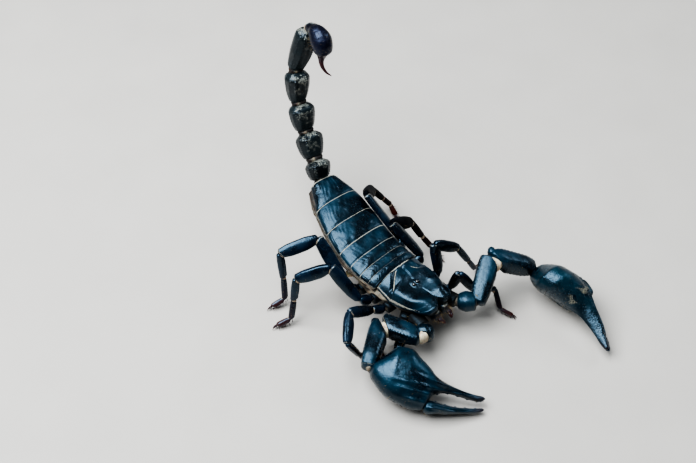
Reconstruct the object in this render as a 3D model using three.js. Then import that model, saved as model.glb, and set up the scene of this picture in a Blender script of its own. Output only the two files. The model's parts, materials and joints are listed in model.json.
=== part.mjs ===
// A large blue-black forest scorpion, life size, standing still with its tail raised.
// Millimetres, +Z up. The head looks along -Y, the animal's left side is at +X, and
// the ground is z = 0, where every foot has a small flat sole.
import * as THREE from 'three';

// ---- driving dimensions -------------------------------------------------------------
const GAP = 0.3; // clearance between neighbouring plates and joints
const REAR_MID = [-2.6, 3.4]; // x, y of the carapace's rear middle, so that the box is centred

const CARAPACE = {
  rear: 1.7, front: 16.9, halfWidth: 7.1, arch: 2.4, edgeHeight: 11.8,
  dip: 1.3, // how far the side edges sink between the corners
  fall: 0.6, // how far the whole plate sinks towards the front
  rim: 1.5, // thickness at the rear edge
  skirt: 0.68, // thickness along the sides
  notch: { depth: 1.9, width: 0.17 },
  yaw: 0.5, // how much further forward the rear edge's left end is
};
const EYE_SIZE = { radius: 0.62, flatness: 0.7, apart: 0.75, along: 0.5, left: -0.3 };
const MESOSOMA = {
  sides: 16,
  power: 2.8, // how boxy a section is
  overhang: 0.45, // rise of each plate's rear edge over the next plate
  shoulder: 0.9, // the widest level's depth below the plate's corners
  pleura: 0.8, // how far the soft flank bulges past the plate
};
const COXAE = { inner: 2.0, outer: 7.0, rear: -4.6, front: 10.6, top: 9.35, bottom: 5.9, keel: 1.0 };
const STERNUM = { rear: -3.4, length: 11.4, halfWidth: 1.65, top: 9.3, bottom: 6.3 };
const PECTINE = { length: 10.4, teeth: 9, toothLength: 1.0, shaft: 0.5, thickness: 0.55, angle: 0.62 };

// Joint places are [forward, left, up] from the ground under the carapace's rear middle.
// Mesosoma stations: [forward, left, corner height, half width, arch, depth below corners,
// turn of the plate's rear edge in degrees].
const MESOSOMA_STATIONS = [
  [1.7, 0.0, 11.8, 6.8, 2.0, 2.0, -4],
  [-0.1, -0.1, 12.0, 6.9, 1.9, 2.2, -5],
  [-2.6, -0.1, 12.4, 7.0, 1.7, 2.6, -6],
  [-6.0, 0.4, 12.9, 7.1, 1.6, 3.4, -7],
  [-10.3, 1.3, 13.5, 7.1, 1.6, 5.0, -8],
  [-16.3, 3.3, 14.2, 6.8, 1.6, 5.3, -10],
  [-22.8, 5.6, 14.9, 5.9, 1.7, 4.9, -12],
  [-30.0, 8.1, 15.4, 3.5, 1.9, 3.2, -15],
];

// Tail joints, and each segment's [width, depth] at its widest.
const TAIL_JOINTS = [
  [-30.3, 8.2, 15.6], [-34.1, 9.7, 20.4], [-38.6, 11.4, 26.4],
  [-42.0, 12.6, 33.9], [-44.1, 13.9, 43.1], [-43.1, 17.7, 54.4],
];
const TAIL_SIZES = [[6.9, 6.0], [6.7, 5.9], [6.3, 5.7], [5.9, 5.5], [5.6, 5.1]];
// Tail segment sections as [t, depth, width, lean], as parts of its size: narrow at the base
// and swollen on the upper side towards the far end.
const TAIL_PROFILE = [
  [0.05, 0.7, 0.8, 0.08], [0.3, 0.88, 0.96, 0.02], [0.65, 1.02, 1, -0.07],
  [0.85, 1.02, 0.98, -0.1], [0.97, 0.9, 0.88, -0.08],
];
const LAST_TAIL_END = [0.97, 0.7, 0.88, 0];
const TAIL_ACROSS = [0.32, 0.94, 0]; // the tail's own left
const TRUNK_WAY = [-0.95, 0.26, 0.1]; // where the trunk's rear end points
// Telson centre line, with the radius at each point, from its neck to the sting's tip.
const TELSON_LINE = [
  [-43.0, 17.9, 55.1, 1.3], [-42.4, 18.0, 56.1, 1.55], [-41.2, 17.8, 56.6, 1.8], [-39.6, 17.3, 56.7, 2.4],
  [-37.6, 16.7, 55.8, 2.8], [-36.7, 16.2, 54.0, 2.45], [-36.5, 15.8, 52.1, 1.5],
  [-36.4, 15.4, 50.3, 0.95], [-35.8, 15.1, 48.7, 0.7], [-34.7, 15.3, 47.3, 0.5],
  [-33.4, 15.9, 46.4, 0.27],
];

// Leg sections as [t, depth, width], for legs of the fourth pair.
const LEG_PROFILES = {
  trochanter: [[0, 2.5, 2.3], [1, 2.2, 2.0]],
  femur: [[0.02, 2.3, 1.8], [0.3, 3.2, 2.0], [0.7, 3.4, 2.0], [1, 2.6, 1.8]],
  patella: [[0.02, 2.7, 1.8], [0.35, 3.5, 2.1], [0.7, 3.4, 2.0], [1, 2.3, 1.7]],
  tibia: [[0.02, 2.1, 1.6], [0.4, 2.2, 1.7], [1, 1.9, 1.5]],
  basitarsus: [[0.02, 1.8, 1.5], [1, 1.6, 1.4]],
  tarsus: [[0.05, 1.5, 1.3], [0.55, 1.5, 1.3], [0.85, 1.3, 1.5], [1, 0.9, 1.3]],
};
const LEG_SCALE = [0.8, 0.88, 1.0, 1.0]; // thickness of leg pairs one to four
const SOLE_HEIGHT = 0.25; // what is lower than this on a foot is flattened onto the ground
// Legs: coxa end, trochanter end, knee, patella end, tibia end, basitarsus end, claw tip.
const LEGS = {
  leg_1_right: [[10.2, -6.7, 6.2], [11.8, -8.7, 5.6], [14.0, -13.4, 3.9], [19.6, -15.2, 3.2],
    [15.6, -17.6, 2.6], [12.4, -16.6, 1.7], [8.8, -14.2, 0.4]],
  leg_2_right: [[5.2, -7.9, 7.9], [3.4, -10.6, 8.5], [2.3, -18.2, 14.1], [7.4, -24.9, 13.2],
    [8.2, -21.8, 6.4], [9.0, -19.6, 2.2], [12.8, -21.6, 0.4]],
  leg_3_right: [[0.9, -8.2, 8.3], [-0.7, -10.8, 9.0], [-8.7, -12.6, 17.2], [-14.5, -19.1, 14.1],
    [-14.3, -20.4, 7.4], [-13.4, -22.7, 2.2], [-15.8, -27.1, 0.4]],
  leg_4_right: [[-3.6, -8.0, 8.2], [-5.6, -9.9, 9.2], [-16.8, -8.3, 18.2], [-21.7, -17.2, 16.5],
    [-20.5, -17.6, 8.6], [-18.9, -19.1, 2.3], [-20.8, -23.7, 0.4]],
  leg_1_left: [[11.0, 6.8, 6.3], [12.8, 9.0, 6.6], [14.8, 9.1, 14.0], [17.2, 12.9, 5.8],
    [21.1, 16.7, 5.6], [24.5, 14.9, 2.0], [28.8, 16.2, 0.4]],
  leg_2_left: [[6.8, 7.2, 7.4], [8.4, 9.6, 8.0], [5.7, 10.2, 17.1], [8.6, 16.4, 12.4],
    [10.5, 19.0, 6.4], [11.7, 20.8, 2.3], [11.9, 25.2, 0.4]],
  leg_3_left: [[1.6, 8.0, 8.0], [2.0, 10.6, 8.9], [-6.8, 8.9, 16.6], [-6.3, 16.0, 11.3],
    [-3.9, 17.8, 5.9], [-1.5, 19.2, 2.2], [3.4, 18.3, 0.4]],
  leg_4_left: [[-3.6, 8.4, 8.4], [-5.4, 11.0, 9.5], [-17.4, 11.2, 17.6], [-21.1, 17.6, 11.9],
    [-20.3, 21.0, 6.2], [-19.4, 23.4, 2.2], [-15.5, 21.8, 0.4]],
};

// Pedipalps: coxa end, trochanter end, elbow, wrist, fixed finger's tip. `outer` is the way
// the broad hand's outer edge points, `bow` lifts its middle above the straight line, and
// `closed` brings the movable finger's tip in.
const PEDIPALPS = {
  right: {
    joints: [[15.9, -6.0, 8.1], [18.9, -9.0, 8.5], [7.6, -12.4, 8.4], [13.6, -24.4, 8.4], [38.2, -9.3, 2.8]],
    outer: [0.48, -0.77, -0.42], bow: 0.8, closed: 0,
  },
  left: {
    joints: [[17.3, 5.4, 8.4], [21.7, 8.4, 9.0], [17.3, 18.7, 13.2], [25.1, 27.0, 7.8], [52.9, 20.9, 4.4]],
    outer: [0.05, 0.5, -0.86], bow: 3.1, closed: 1.5,
  },
};
const PEDIPALP_ROOT = [11.2, 4.7, 7.7]; // of the left one; the right one mirrors it
const PEDIPALP_PROFILES = {
  coxa: [[0, 3.2, 3.2], [0.5, 3.4, 3.8], [1, 3.1, 3.8]],
  trochanter: [[0.02, 3.6, 4.0], [0.5, 4.4, 4.6], [1, 3.5, 3.6]],
  femur: [[0.02, 3.4, 3.6], [0.3, 4.3, 4.7], [0.75, 4.7, 5.2], [1, 3.8, 4.2]],
  patella: [[0.02, 4.0, 4.0], [0.25, 5.2, 5.1], [0.75, 5.1, 4.5], [1, 3.6, 3.4]],
};
const CHELICERA_JOINTS = [[13.2, 1.6, 8.6], [16.8, 1.65, 8.7], [18.4, 1.5, 8.2], [19.2, 1.1, 7.4]];
// The hand and its fixed finger, along the line from wrist to tip (1 is the tip):
// [along, inner edge, outer edge, half depth].
const HAND_STATIONS = [
  [0.03, -1.0, 1.9, 1.5], [0.08, -1.9, 3.2, 2.7], [0.14, -3.6, 4.8, 3.7], [0.21, -6.6, 6.1, 4.4],
  [0.31, -6.6, 6.9, 4.5], [0.41, -4.5, 7.4, 4.2], [0.5, -3.0, 7.0, 3.7], [0.56, -1.9, 3.2, 2.9],
  [0.63, -1.0, 2.6, 2.3], [0.72, -0.4, 2.4, 1.8], [0.82, 0.0, 2.5, 1.45], [0.91, 0.1, 2.1, 1.1],
  [0.97, 0.0, 1.5, 0.75], [1.0, 0.1, 0.8, 0.4],
];
const FINGER_STATIONS = [
  [0.515, 4.2, 7.4, 2.2], [0.58, 4.2, 7.8, 2.3], [0.67, 4.4, 7.7, 2.0], [0.76, 4.3, 7.0, 1.75],
  [0.85, 3.9, 6.1, 1.4], [0.93, 3.4, 5.0, 1.0], [0.99, 2.9, 3.9, 0.6], [1.01, 2.8, 3.4, 0.35],
];
const FINGER_ROOT = 0.52; // where the movable finger turns
const SLANT = -0.011; // the hand's end and the finger's root lean, in `along` per millimetre
const SLANTED_HAND_RING = 6; // the hand section where the movable finger begins

// ---- finishes -----------------------------------------------------------------------
const finish = (color, roughness) => new THREE.MeshStandardMaterial({ color, roughness, metalness: 0 });
const SHELL = finish(0x0e1c28, 0.28);
const HAND_SHELL = finish(0x10222e, 0.36);
const TAIL_SHELL = finish(0x14201f, 0.5);
const TELSON_SHELL = finish(0x1a1424, 0.25);
const LEG_SHELL = finish(0x0f1624, 0.3);
const BELLY = finish(0x2b2a28, 0.5);
const COMB = finish(0xb59a6c, 0.55);
const EYE = finish(0x050505, 0.08);

// ---- shape helpers ------------------------------------------------------------------
const scorpion = new THREE.Group();
const vector = (x, y, z) => new THREE.Vector3(x, y, z);
const place = ([forward, left, up]) => vector(REAR_MID[0] + left, REAR_MID[1] - forward, up);
const heading = ([forward, left, up]) => vector(left, -forward, up).normalize();
const direction = (from, to) => to.clone().sub(from).normalize();

/** Adds a closed triangle mesh to the animal, with its faces turned outwards. */
function addPiece(name, vertices, triangles, material) {
  let volume = 0;
  for (const [a, b, c] of triangles) {
    volume += vertices[a].dot(vertices[b].clone().cross(vertices[c]));
  }
  const faces = volume < 0 ? triangles.map(([a, b, c]) => [a, c, b]) : triangles;
  const geometry = new THREE.BufferGeometry();
  geometry.setAttribute('position', new THREE.Float32BufferAttribute(
    vertices.flatMap((v) => [v.x, v.y, v.z]), 3));
  geometry.setIndex(faces.flat());
  geometry.computeVertexNormals();
  const mesh = new THREE.Mesh(geometry, material);
  mesh.name = name;
  scorpion.add(mesh);
}

/** Skins a stack of rings that all have the same number of points, and caps both ends. */
function addSkin(name, rings, material) {
  const count = rings[0].length;
  const vertices = rings.flat();
  const triangles = [];
  for (let ring = 0; ring + 1 < rings.length; ring += 1) {
    for (let i = 0; i < count; i += 1) {
      const a = ring * count + i;
      const b = ring * count + ((i + 1) % count);
      triangles.push([a, b, b + count], [a, b + count, a + count]);
    }
  }
  const last = (rings.length - 1) * count;
  for (let i = 1; i + 1 < count; i += 1) {
    triangles.push([0, i + 1, i], [last, last + i, last + i + 1]);
  }
  addPiece(name, vertices, triangles, material);
}

/** Unit outline of a rounded section: power 2 is an ellipse, and more is boxier. */
function outline(sides, power) {
  return Array.from({ length: sides }, (_, i) => {
    const angle = (2 * Math.PI * (i + 0.5)) / sides;
    const soften = (value) => Math.sign(value) * Math.abs(value) ** (2 / power);
    return [soften(Math.cos(angle)), soften(Math.sin(angle))];
  });
}

/**
 * Slides a ring's points along `axis` onto a plane: all of them, or, with `past` 1 or -1,
 * only those that lie past the plane at a span's end or before the plane at its start.
 */
function slide(ring, axis, { point, normal, retreat }, past = 0) {
  return ring.map((p) => {
    const distance = retreat - p.clone().sub(point).dot(normal);
    if (past * distance > 0) return p;
    return p.clone().addScaledVector(axis, distance / axis.dot(normal));
  });
}

/**
 * One piece of a limb that runs through several joints. Each span has a profile of
 * [t, depth, width, lean] rings, where `lean` shifts a ring along its depth; `before` and
 * `after` are the ways of the neighbouring limb pieces, whose shared joints are cut along
 * the bisecting plane. Rings at a bend are slimmer, the sharper it is.
 */
function addLimb(name, joints, spans, { before, after, side, sides = 8, power = 2.4, sole = false, material }) {
  const rings = [];
  const ways = joints.slice(1).map((joint, i) => direction(joints[i], joint));
  const unit = outline(sides, power);
  spans.forEach((profile, span) => {
    const axis = ways[span];
    const across = side.clone().addScaledVector(axis, -side.dot(axis)).normalize();
    const dorsal = axis.clone().cross(across);
    const [start, end] = [joints[span], joints[span + 1]];
    const length = start.distanceTo(end);
    const previous = span > 0 ? ways[span - 1] : before;
    const next = span + 1 < ways.length ? ways[span + 1] : after;
    const bend = (other) => (other ? axis.angleTo(other) : 0);
    const slim = (other) => THREE.MathUtils.clamp(1.5 - 0.6 * bend(other), 0.42, 1);
    const reach = (other, depth) => (
      other ? Math.min((depth / 2) * Math.tan(bend(other) / 2) + 0.35, 0.42 * length) : 0);
    const ringAt = (distance, [, depth, width, lean = 0], scale = 1) => unit.map(([u, v]) => start.clone()
      .addScaledVector(axis, distance)
      .addScaledVector(across, (u * width * scale) / 2)
      .addScaledVector(dorsal, (v * depth * scale) / 2 + lean));
    const plane = (point, other, retreat) => (
      { point, normal: other ? axis.clone().add(other).normalize() : axis, retreat });
    const rear = plane(start, previous, span > 0 ? 0 : GAP / 2);
    const front = plane(end, next, span + 1 < ways.length ? 0 : -GAP / 2);
    const [first, last] = [profile[0], profile[profile.length - 1]];
    const from = reach(previous, first[1]);
    const to = length - reach(next, last[1]);

    if (span === 0) rings.push(slide(ringAt(0, first, slim(previous)), axis, rear));
    for (const section of profile) {
      if (section[0] > 0 || previous) {
        const ring = ringAt(from + section[0] * (to - from), section);
        rings.push(slide(slide(ring, axis, rear, -1), axis, front, 1));
      }
    }
    if (next) rings.push(slide(ringAt(length, last, slim(next)), axis, front));
  });
  if (sole) {
    for (const p of rings.flat()) if (p.z < SOLE_HEIGHT) p.z = 0;
  }
  addSkin(name, rings, material);
}

/** A block between an upper and a lower surface, over a grid of plan positions. */
function addBlock(name, columns, rows, upper, lower, material) {
  const vertices = [];
  const triangles = [];
  const index = (layer, row, column) => (layer * rows + row) * columns + column;
  for (const surface of [upper, lower]) {
    for (let row = 0; row < rows; row += 1) {
      for (let column = 0; column < columns; column += 1) {
        vertices.push(surface(row / (rows - 1), (2 * column) / (columns - 1) - 1));
      }
    }
  }
  for (let row = 0; row + 1 < rows; row += 1) {
    for (let column = 0; column + 1 < columns; column += 1) {
      for (const layer of [0, 1]) {
        const [a, b, c, d] = [index(layer, row, column), index(layer, row, column + 1),
          index(layer, row + 1, column + 1), index(layer, row + 1, column)];
        triangles.push(...(layer === 0 ? [[a, b, c], [a, c, d]] : [[a, c, b], [a, d, c]]));
      }
    }
  }
  const edge = [];
  for (let column = 0; column < columns; column += 1) edge.push([0, column]);
  for (let row = 1; row < rows; row += 1) edge.push([row, columns - 1]);
  for (let column = columns - 2; column >= 0; column -= 1) edge.push([rows - 1, column]);
  for (let row = rows - 2; row > 0; row -= 1) edge.push([row, 0]);
  edge.forEach(([row, column], i) => {
    const [nextRow, nextColumn] = edge[(i + 1) % edge.length];
    const [a, b] = [index(0, row, column), index(0, nextRow, nextColumn)];
    const [c, d] = [index(1, nextRow, nextColumn), index(1, row, column)];
    triangles.push([b, a, d], [b, d, c]);
  });
  addPiece(name, vertices, triangles, material);
}

// ---- head and thorax ----------------------------------------------------------------
/** Half width of the carapace, from its rear edge (0) to its front (1). */
function carapaceHalfWidth(t) {
  return CARAPACE.halfWidth * (1 - 0.36 * Math.max(0, t - 0.3) ** 1.5 - 0.05 * (1 - t) ** 5);
}

/** Front edge of the carapace: two rounded lobes with a notch between them. */
function carapaceFront(u) {
  const { front, notch } = CARAPACE;
  const shoulder = 3.4 * Math.abs(u) ** 5;
  return front - notch.depth * Math.exp(-((u / notch.width) ** 2)) - shoulder;
}

/** Where a point of the carapace lies in plan; t runs forward and u from right to left. */
function carapacePlan(t, u) {
  const start = CARAPACE.rear + GAP / 2 + CARAPACE.yaw * u;
  return [start + t * (carapaceFront(u) - start), u * carapaceHalfWidth(t)];
}

/** Height of the carapace's side edges, which dip between the rear corners and the front. */
function carapaceEdge(t) {
  const { edgeHeight, dip, fall } = CARAPACE;
  return edgeHeight - dip * Math.sin(Math.PI * Math.min(t * 1.15, 1)) - fall * t;
}

function carapaceHeight(t, u) {
  const { edgeHeight, arch, fall } = CARAPACE;
  const crown = edgeHeight + arch * (1 - 0.3 * t ** 2.5) - fall * t - carapaceEdge(t);
  return carapaceEdge(t) + crown * (1 - Math.abs(u) ** 2.4);
}

function addCarapace() {
  const { rim, skirt } = CARAPACE;
  const upper = (t, u) => place([...carapacePlan(t, u), carapaceHeight(t, u)]);
  const lower = (t, u) => {
    const [forward, left] = carapacePlan(t, u);
    const thinning = 1 - 0.6 * Math.max(0, (t - 0.62) / 0.38);
    return place([forward, left * 0.97, carapaceEdge(t) - (t < 0.1 ? rim : skirt * thinning)]);
  };
  addBlock('carapace', 13, 11, upper, lower, SHELL);
}

function addEyes() {
  const { radius, flatness, apart, along, left } = EYE_SIZE;
  const [forward] = carapacePlan(along, 0);
  const up = carapaceHeight(along, 0) + radius * flatness + GAP;
  for (const [side, sign] of [['left', 1], ['right', -1]]) {
    const sphere = new THREE.SphereGeometry(radius, 10, 7);
    const centre = place([forward, left + sign * apart, up]);
    const vertices = [];
    const triangles = [];
    const merged = new Map();
    const source = sphere.getAttribute('position');
    const lookup = Array.from({ length: source.count }, (_, i) => {
      const p = vector(source.getX(i), source.getY(i), source.getZ(i) * flatness);
      const key = [p.x, p.y, p.z].map((n) => n.toFixed(4)).join();
      if (!merged.has(key)) {
        merged.set(key, vertices.length);
        vertices.push(p.add(centre));
      }
      return merged.get(key);
    });
    const order = sphere.getIndex().array;
    for (let i = 0; i < order.length; i += 3) {
      const face = [lookup[order[i]], lookup[order[i + 1]], lookup[order[i + 2]]];
      if (new Set(face).size === 3) triangles.push(face);
    }
    addPiece(`eye_${side}`, vertices, triangles, EYE);
  }
}

function addChelicera(side, sign) {
  const joints = CHELICERA_JOINTS.map(([forward, left, up]) => place([forward, sign * left, up]));
  addLimb(`chelicera_${side}`, joints, [
    [[0, 2.6, 2.5], [1, 3.0, 2.9]],
    [[1, 2.3, 2.2]],
    [[1, 0.8, 0.9]],
  ], { side: heading([0, 1, 0]), material: SHELL });
}

/** Underside of the thorax: four coxae a side, scalloped where each leg leaves. */
function addCoxae(side, sign) {
  const { inner, rear, front, top, bottom, keel } = COXAE;
  const outer = (forward) => COXAE.outer - 1.5 * Math.max(0, (forward - 6) / 5) ** 1.5
    + 0.35 * Math.cos((forward - 1.0) * 1.45);
  const grid = (up, slope) => (t, u) => {
    const forward = rear + t * (front - rear);
    const outward = (u + 1) / 2;
    return place([forward, sign * (inner + outward * (outer(forward) - inner)), up + slope * outward]);
  };
  addBlock(`coxae_${side}`, 3, 14, grid(top, 0), grid(bottom, keel), BELLY);
}

function addSternum() {
  const { rear, length, halfWidth, top, bottom } = STERNUM;
  const half = (t) => halfWidth * (1 - 0.55 * Math.max(0, t - 0.7) / 0.3) * (1 - 0.12 * Math.cos(9 * t));
  const grid = (up) => (t, u) => place([rear + t * length, u * half(t), up]);
  addBlock('sternum', 3, 8, grid(top), grid(bottom), BELLY);
}

/** One comb of the underside, with its teeth along the rear edge. */
function addPectine(side, sign) {
  const { length, teeth, toothLength, shaft, thickness, angle } = PECTINE;
  const comb = new THREE.Shape();
  comb.moveTo(0, 0.9);
  comb.lineTo(length, 0.35);
  comb.lineTo(length, -shaft);
  for (let tooth = teeth; tooth > 0; tooth -= 1) {
    const middle = ((tooth - 0.5) / teeth) * length;
    comb.lineTo(middle + 0.3, -shaft);
    comb.lineTo(middle + 0.22, -shaft - toothLength);
    comb.lineTo(middle - 0.3, -shaft - toothLength);
    comb.lineTo(middle - 0.38, -shaft);
  }
  comb.lineTo(0, -shaft);
  comb.closePath();
  const plate = new THREE.ExtrudeGeometry(comb, { depth: thickness, bevelEnabled: false });
  plate.deleteAttribute('uv');
  plate.deleteAttribute('normal');
  if (sign > 0) plate.rotateX(Math.PI);
  plate.applyMatrix4(new THREE.Matrix4().makeRotationZ(sign > 0 ? angle : Math.PI - angle));
  const mesh = new THREE.Mesh(plate, COMB);
  mesh.name = `pectine_${side}`;
  mesh.position.copy(place([-5.0, sign * 0.7, sign > 0 ? 8.3 : 8.3 - thickness]));
  scorpion.add(mesh);
}

// ---- trunk --------------------------------------------------------------------------
/** One trunk section: arched plate above its corners, soft flank and flat belly below. */
function trunkRing([forward, left, corner, halfWidth, arch, depth, turn], lift, shift) {
  const angle = THREE.MathUtils.degToRad(turn);
  const back = heading([-Math.cos(angle), -Math.sin(angle), 0]);
  const across = heading([-Math.sin(angle), Math.cos(angle), 0]);
  const { sides, power, shoulder, pleura } = MESOSOMA;
  const centre = place([forward, left, corner - shoulder]).addScaledVector(back, shift);
  return outline(sides, power).map(([u, v]) => centre.clone()
    .addScaledVector(across, u * (halfWidth + pleura))
    .add(vector(0, 0, v * (v > 0 ? arch + shoulder + lift : depth - shoulder))));
}

function addMesosoma() {
  const blend = (a, b, t) => a.map((value, i) => value + (b[i] - value) * t);
  for (let i = 0; i + 1 < MESOSOMA_STATIONS.length; i += 1) {
    const [here, there] = [MESOSOMA_STATIONS[i], MESOSOMA_STATIONS[i + 1]];
    const rings = [0, 0.5, 1].map((t) => trunkRing(
      blend(here, there, t), t * MESOSOMA.overhang, GAP * (0.5 - t)));
    addSkin(`mesosoma_${i + 1}`, rings, SHELL);
  }
}

// ---- tail ---------------------------------------------------------------------------
function addTail() {
  const joints = TAIL_JOINTS.map(place);
  const ways = joints.slice(1).map((joint, i) => direction(joints[i], joint));
  TAIL_SIZES.forEach(([width, depth], i) => {
    const final = i === TAIL_SIZES.length - 1;
    const start = joints[i].clone().addScaledVector(ways[i], i === 0 ? 0.5 : 0);
    const profile = final ? [...TAIL_PROFILE.slice(0, -1), LAST_TAIL_END] : TAIL_PROFILE;
    addLimb(`metasoma_${i + 1}`, [start, joints[i + 1]], [
      profile.map(([t, deep, wide, lean]) => [t, deep * depth, wide * width, lean * depth]),
    ], {
      before: i === 0 ? heading(TRUNK_WAY) : ways[i - 1],
      after: final ? ways[i] : ways[i + 1],
      side: heading(TAIL_ACROSS), sides: 10, power: 2.6, material: TAIL_SHELL,
    });
  });
}

function addTelson() {
  const points = TELSON_LINE.map(place);
  const side = heading(TAIL_ACROSS);
  const rings = points.map((point, i) => {
    const axis = direction(points[Math.max(i - 1, 0)], points[Math.min(i + 1, points.length - 1)]);
    const across = side.clone().addScaledVector(axis, -side.dot(axis)).normalize();
    const dorsal = axis.clone().cross(across);
    const radius = TELSON_LINE[i][3];
    return outline(10, 2).map(([u, v]) => point.clone()
      .addScaledVector(across, u * radius)
      .addScaledVector(dorsal, v * radius));
  });
  addSkin('telson', rings, TELSON_SHELL);
}

// ---- legs ---------------------------------------------------------------------------
function addLeg(name, scale) {
  const joints = LEGS[name].map(place);
  const ways = joints.slice(1).map((joint, i) => direction(joints[i], joint));
  const side = ways[1].clone().cross(ways[2]).normalize();
  const size = (part) => LEG_PROFILES[part].map(([t, depth, width]) => [t, depth * scale, width * scale]);
  addLimb(`${name}_femur`, joints.slice(0, 3), [size('trochanter'), size('femur')],
    { after: ways[2], side, material: LEG_SHELL });
  addLimb(`${name}_patella`, joints.slice(2, 4), [size('patella')],
    { before: ways[1], after: ways[3], side, material: LEG_SHELL });
  addLimb(`${name}_foot`, joints.slice(3), [size('tibia'), size('basitarsus'), size('tarsus')],
    { before: ways[2], side, sole: true, material: LEG_SHELL });
}

// ---- pedipalps ----------------------------------------------------------------------
function addPedipalp(name, { joints: places, outer, bow, closed }) {
  const joints = places.map(place);
  const [rootForward, rootLeft, rootUp] = PEDIPALP_ROOT;
  const root = place([rootForward, name === 'left' ? rootLeft : -rootLeft, rootUp]);
  const chain = [root, ...joints];
  const ways = joints.map((joint, i) => direction(chain[i], joint));
  ['coxa', 'trochanter', 'femur', 'patella'].forEach((part, i) => {
    addLimb(`pedipalp_${name}_${part}`, [chain[i], chain[i + 1]], [PEDIPALP_PROFILES[part]], {
      before: ways[i - 1],
      after: ways[i + 1],
      side: ways[i].clone().cross(vector(0, 0, 1)).normalize(),
      power: part === 'coxa' ? 2.4 : 3,
      material: part === 'coxa' ? BELLY : SHELL,
    });
  });

  // The hand lies on the line from wrist to tip, broad along `outer`.
  const [wrist, tip] = [joints[3], joints[4]];
  const axis = direction(wrist, tip);
  const length = wrist.distanceTo(tip);
  const across = heading(outer);
  across.addScaledVector(axis, -across.dot(axis)).normalize();
  const dorsal = axis.clone().cross(across);
  if (dorsal.z < 0) dorsal.negate();
  const ringsOf = (stations, sides, slanted, turned) => {
    const unit = outline(sides, 2.3);
    return stations.map(([along, inner, edge, half], i) => {
      const middle = (inner + edge) / 2;
      const lean = i === slanted ? SLANT : 0;
      const swing = (turned * Math.max(0, along - FINGER_ROOT)) / (1 - FINGER_ROOT);
      return unit.map(([u, v]) => {
        const reach = middle + (u * (edge - inner)) / 2;
        const at = along + lean * (reach - middle);
        const lift = bow * Math.sin(Math.PI * Math.min(at, 1)) ** 1.3;
        return wrist.clone()
          .addScaledVector(axis, at * length)
          .addScaledVector(across, reach - swing)
          .addScaledVector(dorsal, v * half + lift);
      });
    });
  };
  addSkin(`pedipalp_${name}_hand`, ringsOf(HAND_STATIONS, 12, SLANTED_HAND_RING, 0), HAND_SHELL);
  addSkin(`pedipalp_${name}_finger`, ringsOf(FINGER_STATIONS, 8, 0, closed), HAND_SHELL);
}

// ---- assembly -----------------------------------------------------------------------
addCarapace();
addEyes();
addSternum();
addMesosoma();
addTail();
addTelson();
for (const [side, sign] of [['left', 1], ['right', -1]]) {
  addChelicera(side, sign);
  addCoxae(side, sign);
  addPectine(side, sign);
  addPedipalp(side, PEDIPALPS[side]);
}
for (const name of Object.keys(LEGS)) {
  addLeg(name, LEG_SCALE[Number(name.split('_')[1]) - 1]);
}

export default scorpion;
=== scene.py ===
"""A large blue-black forest scorpion, life size, standing still with its tail raised.

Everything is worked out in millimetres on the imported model's own axes: the head looks along
-Y, the animal's left side is at +X, and the ground is z = 0. A joint's place is written as
[forward, left, up] from the ground under the carapace's rear middle, and place() turns it to
the model's axes. Sculpture.piece() turns millimetres to metres.
"""
import json
import math

import bpy
import numpy as np
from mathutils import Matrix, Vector

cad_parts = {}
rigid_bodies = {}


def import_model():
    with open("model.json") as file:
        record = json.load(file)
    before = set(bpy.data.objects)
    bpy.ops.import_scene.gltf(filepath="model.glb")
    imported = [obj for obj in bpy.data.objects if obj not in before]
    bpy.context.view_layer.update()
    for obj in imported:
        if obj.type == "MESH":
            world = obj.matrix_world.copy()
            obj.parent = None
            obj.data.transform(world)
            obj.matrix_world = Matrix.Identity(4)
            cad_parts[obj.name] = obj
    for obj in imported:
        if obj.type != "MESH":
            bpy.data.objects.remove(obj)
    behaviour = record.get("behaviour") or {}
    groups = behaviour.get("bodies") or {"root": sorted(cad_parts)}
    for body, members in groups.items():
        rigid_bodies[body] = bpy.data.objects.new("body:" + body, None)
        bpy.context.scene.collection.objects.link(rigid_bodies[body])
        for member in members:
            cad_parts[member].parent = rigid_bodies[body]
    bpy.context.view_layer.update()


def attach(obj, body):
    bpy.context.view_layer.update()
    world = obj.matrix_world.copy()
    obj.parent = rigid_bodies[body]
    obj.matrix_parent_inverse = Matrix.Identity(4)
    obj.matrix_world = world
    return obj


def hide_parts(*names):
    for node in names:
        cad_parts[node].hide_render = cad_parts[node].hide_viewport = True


for leftover in list(bpy.data.objects):
    bpy.data.objects.remove(leftover)
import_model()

# ---- sizes, in millimetres ----------------------------------------------------------------
MM = 0.001
REAR_MID = (-2.6, 3.4)  # x, y of the carapace's rear middle

CARAPACE = {
    "rear": 1.85, "front": 16.9, "half_width": 7.1, "arch": 2.4, "edge": 11.8,
    "dip": 1.3, "fall": 0.6, "skirt": 0.6, "notch": 1.9, "notch_width": 0.17, "yaw": 0.5,
}
TUBERCLE = {"along": 0.5, "left": -0.3, "height": 0.5, "half_length": 1.25, "half_width": 0.95}
EYE = {"radius": 0.52, "apart": 0.62}

SHADED_LEGS = ("leg_3_left", "leg_4_left")  # pieces below the femur get a shaded copy of the leg finish: painted shade, browner and almost without gloss
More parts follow.
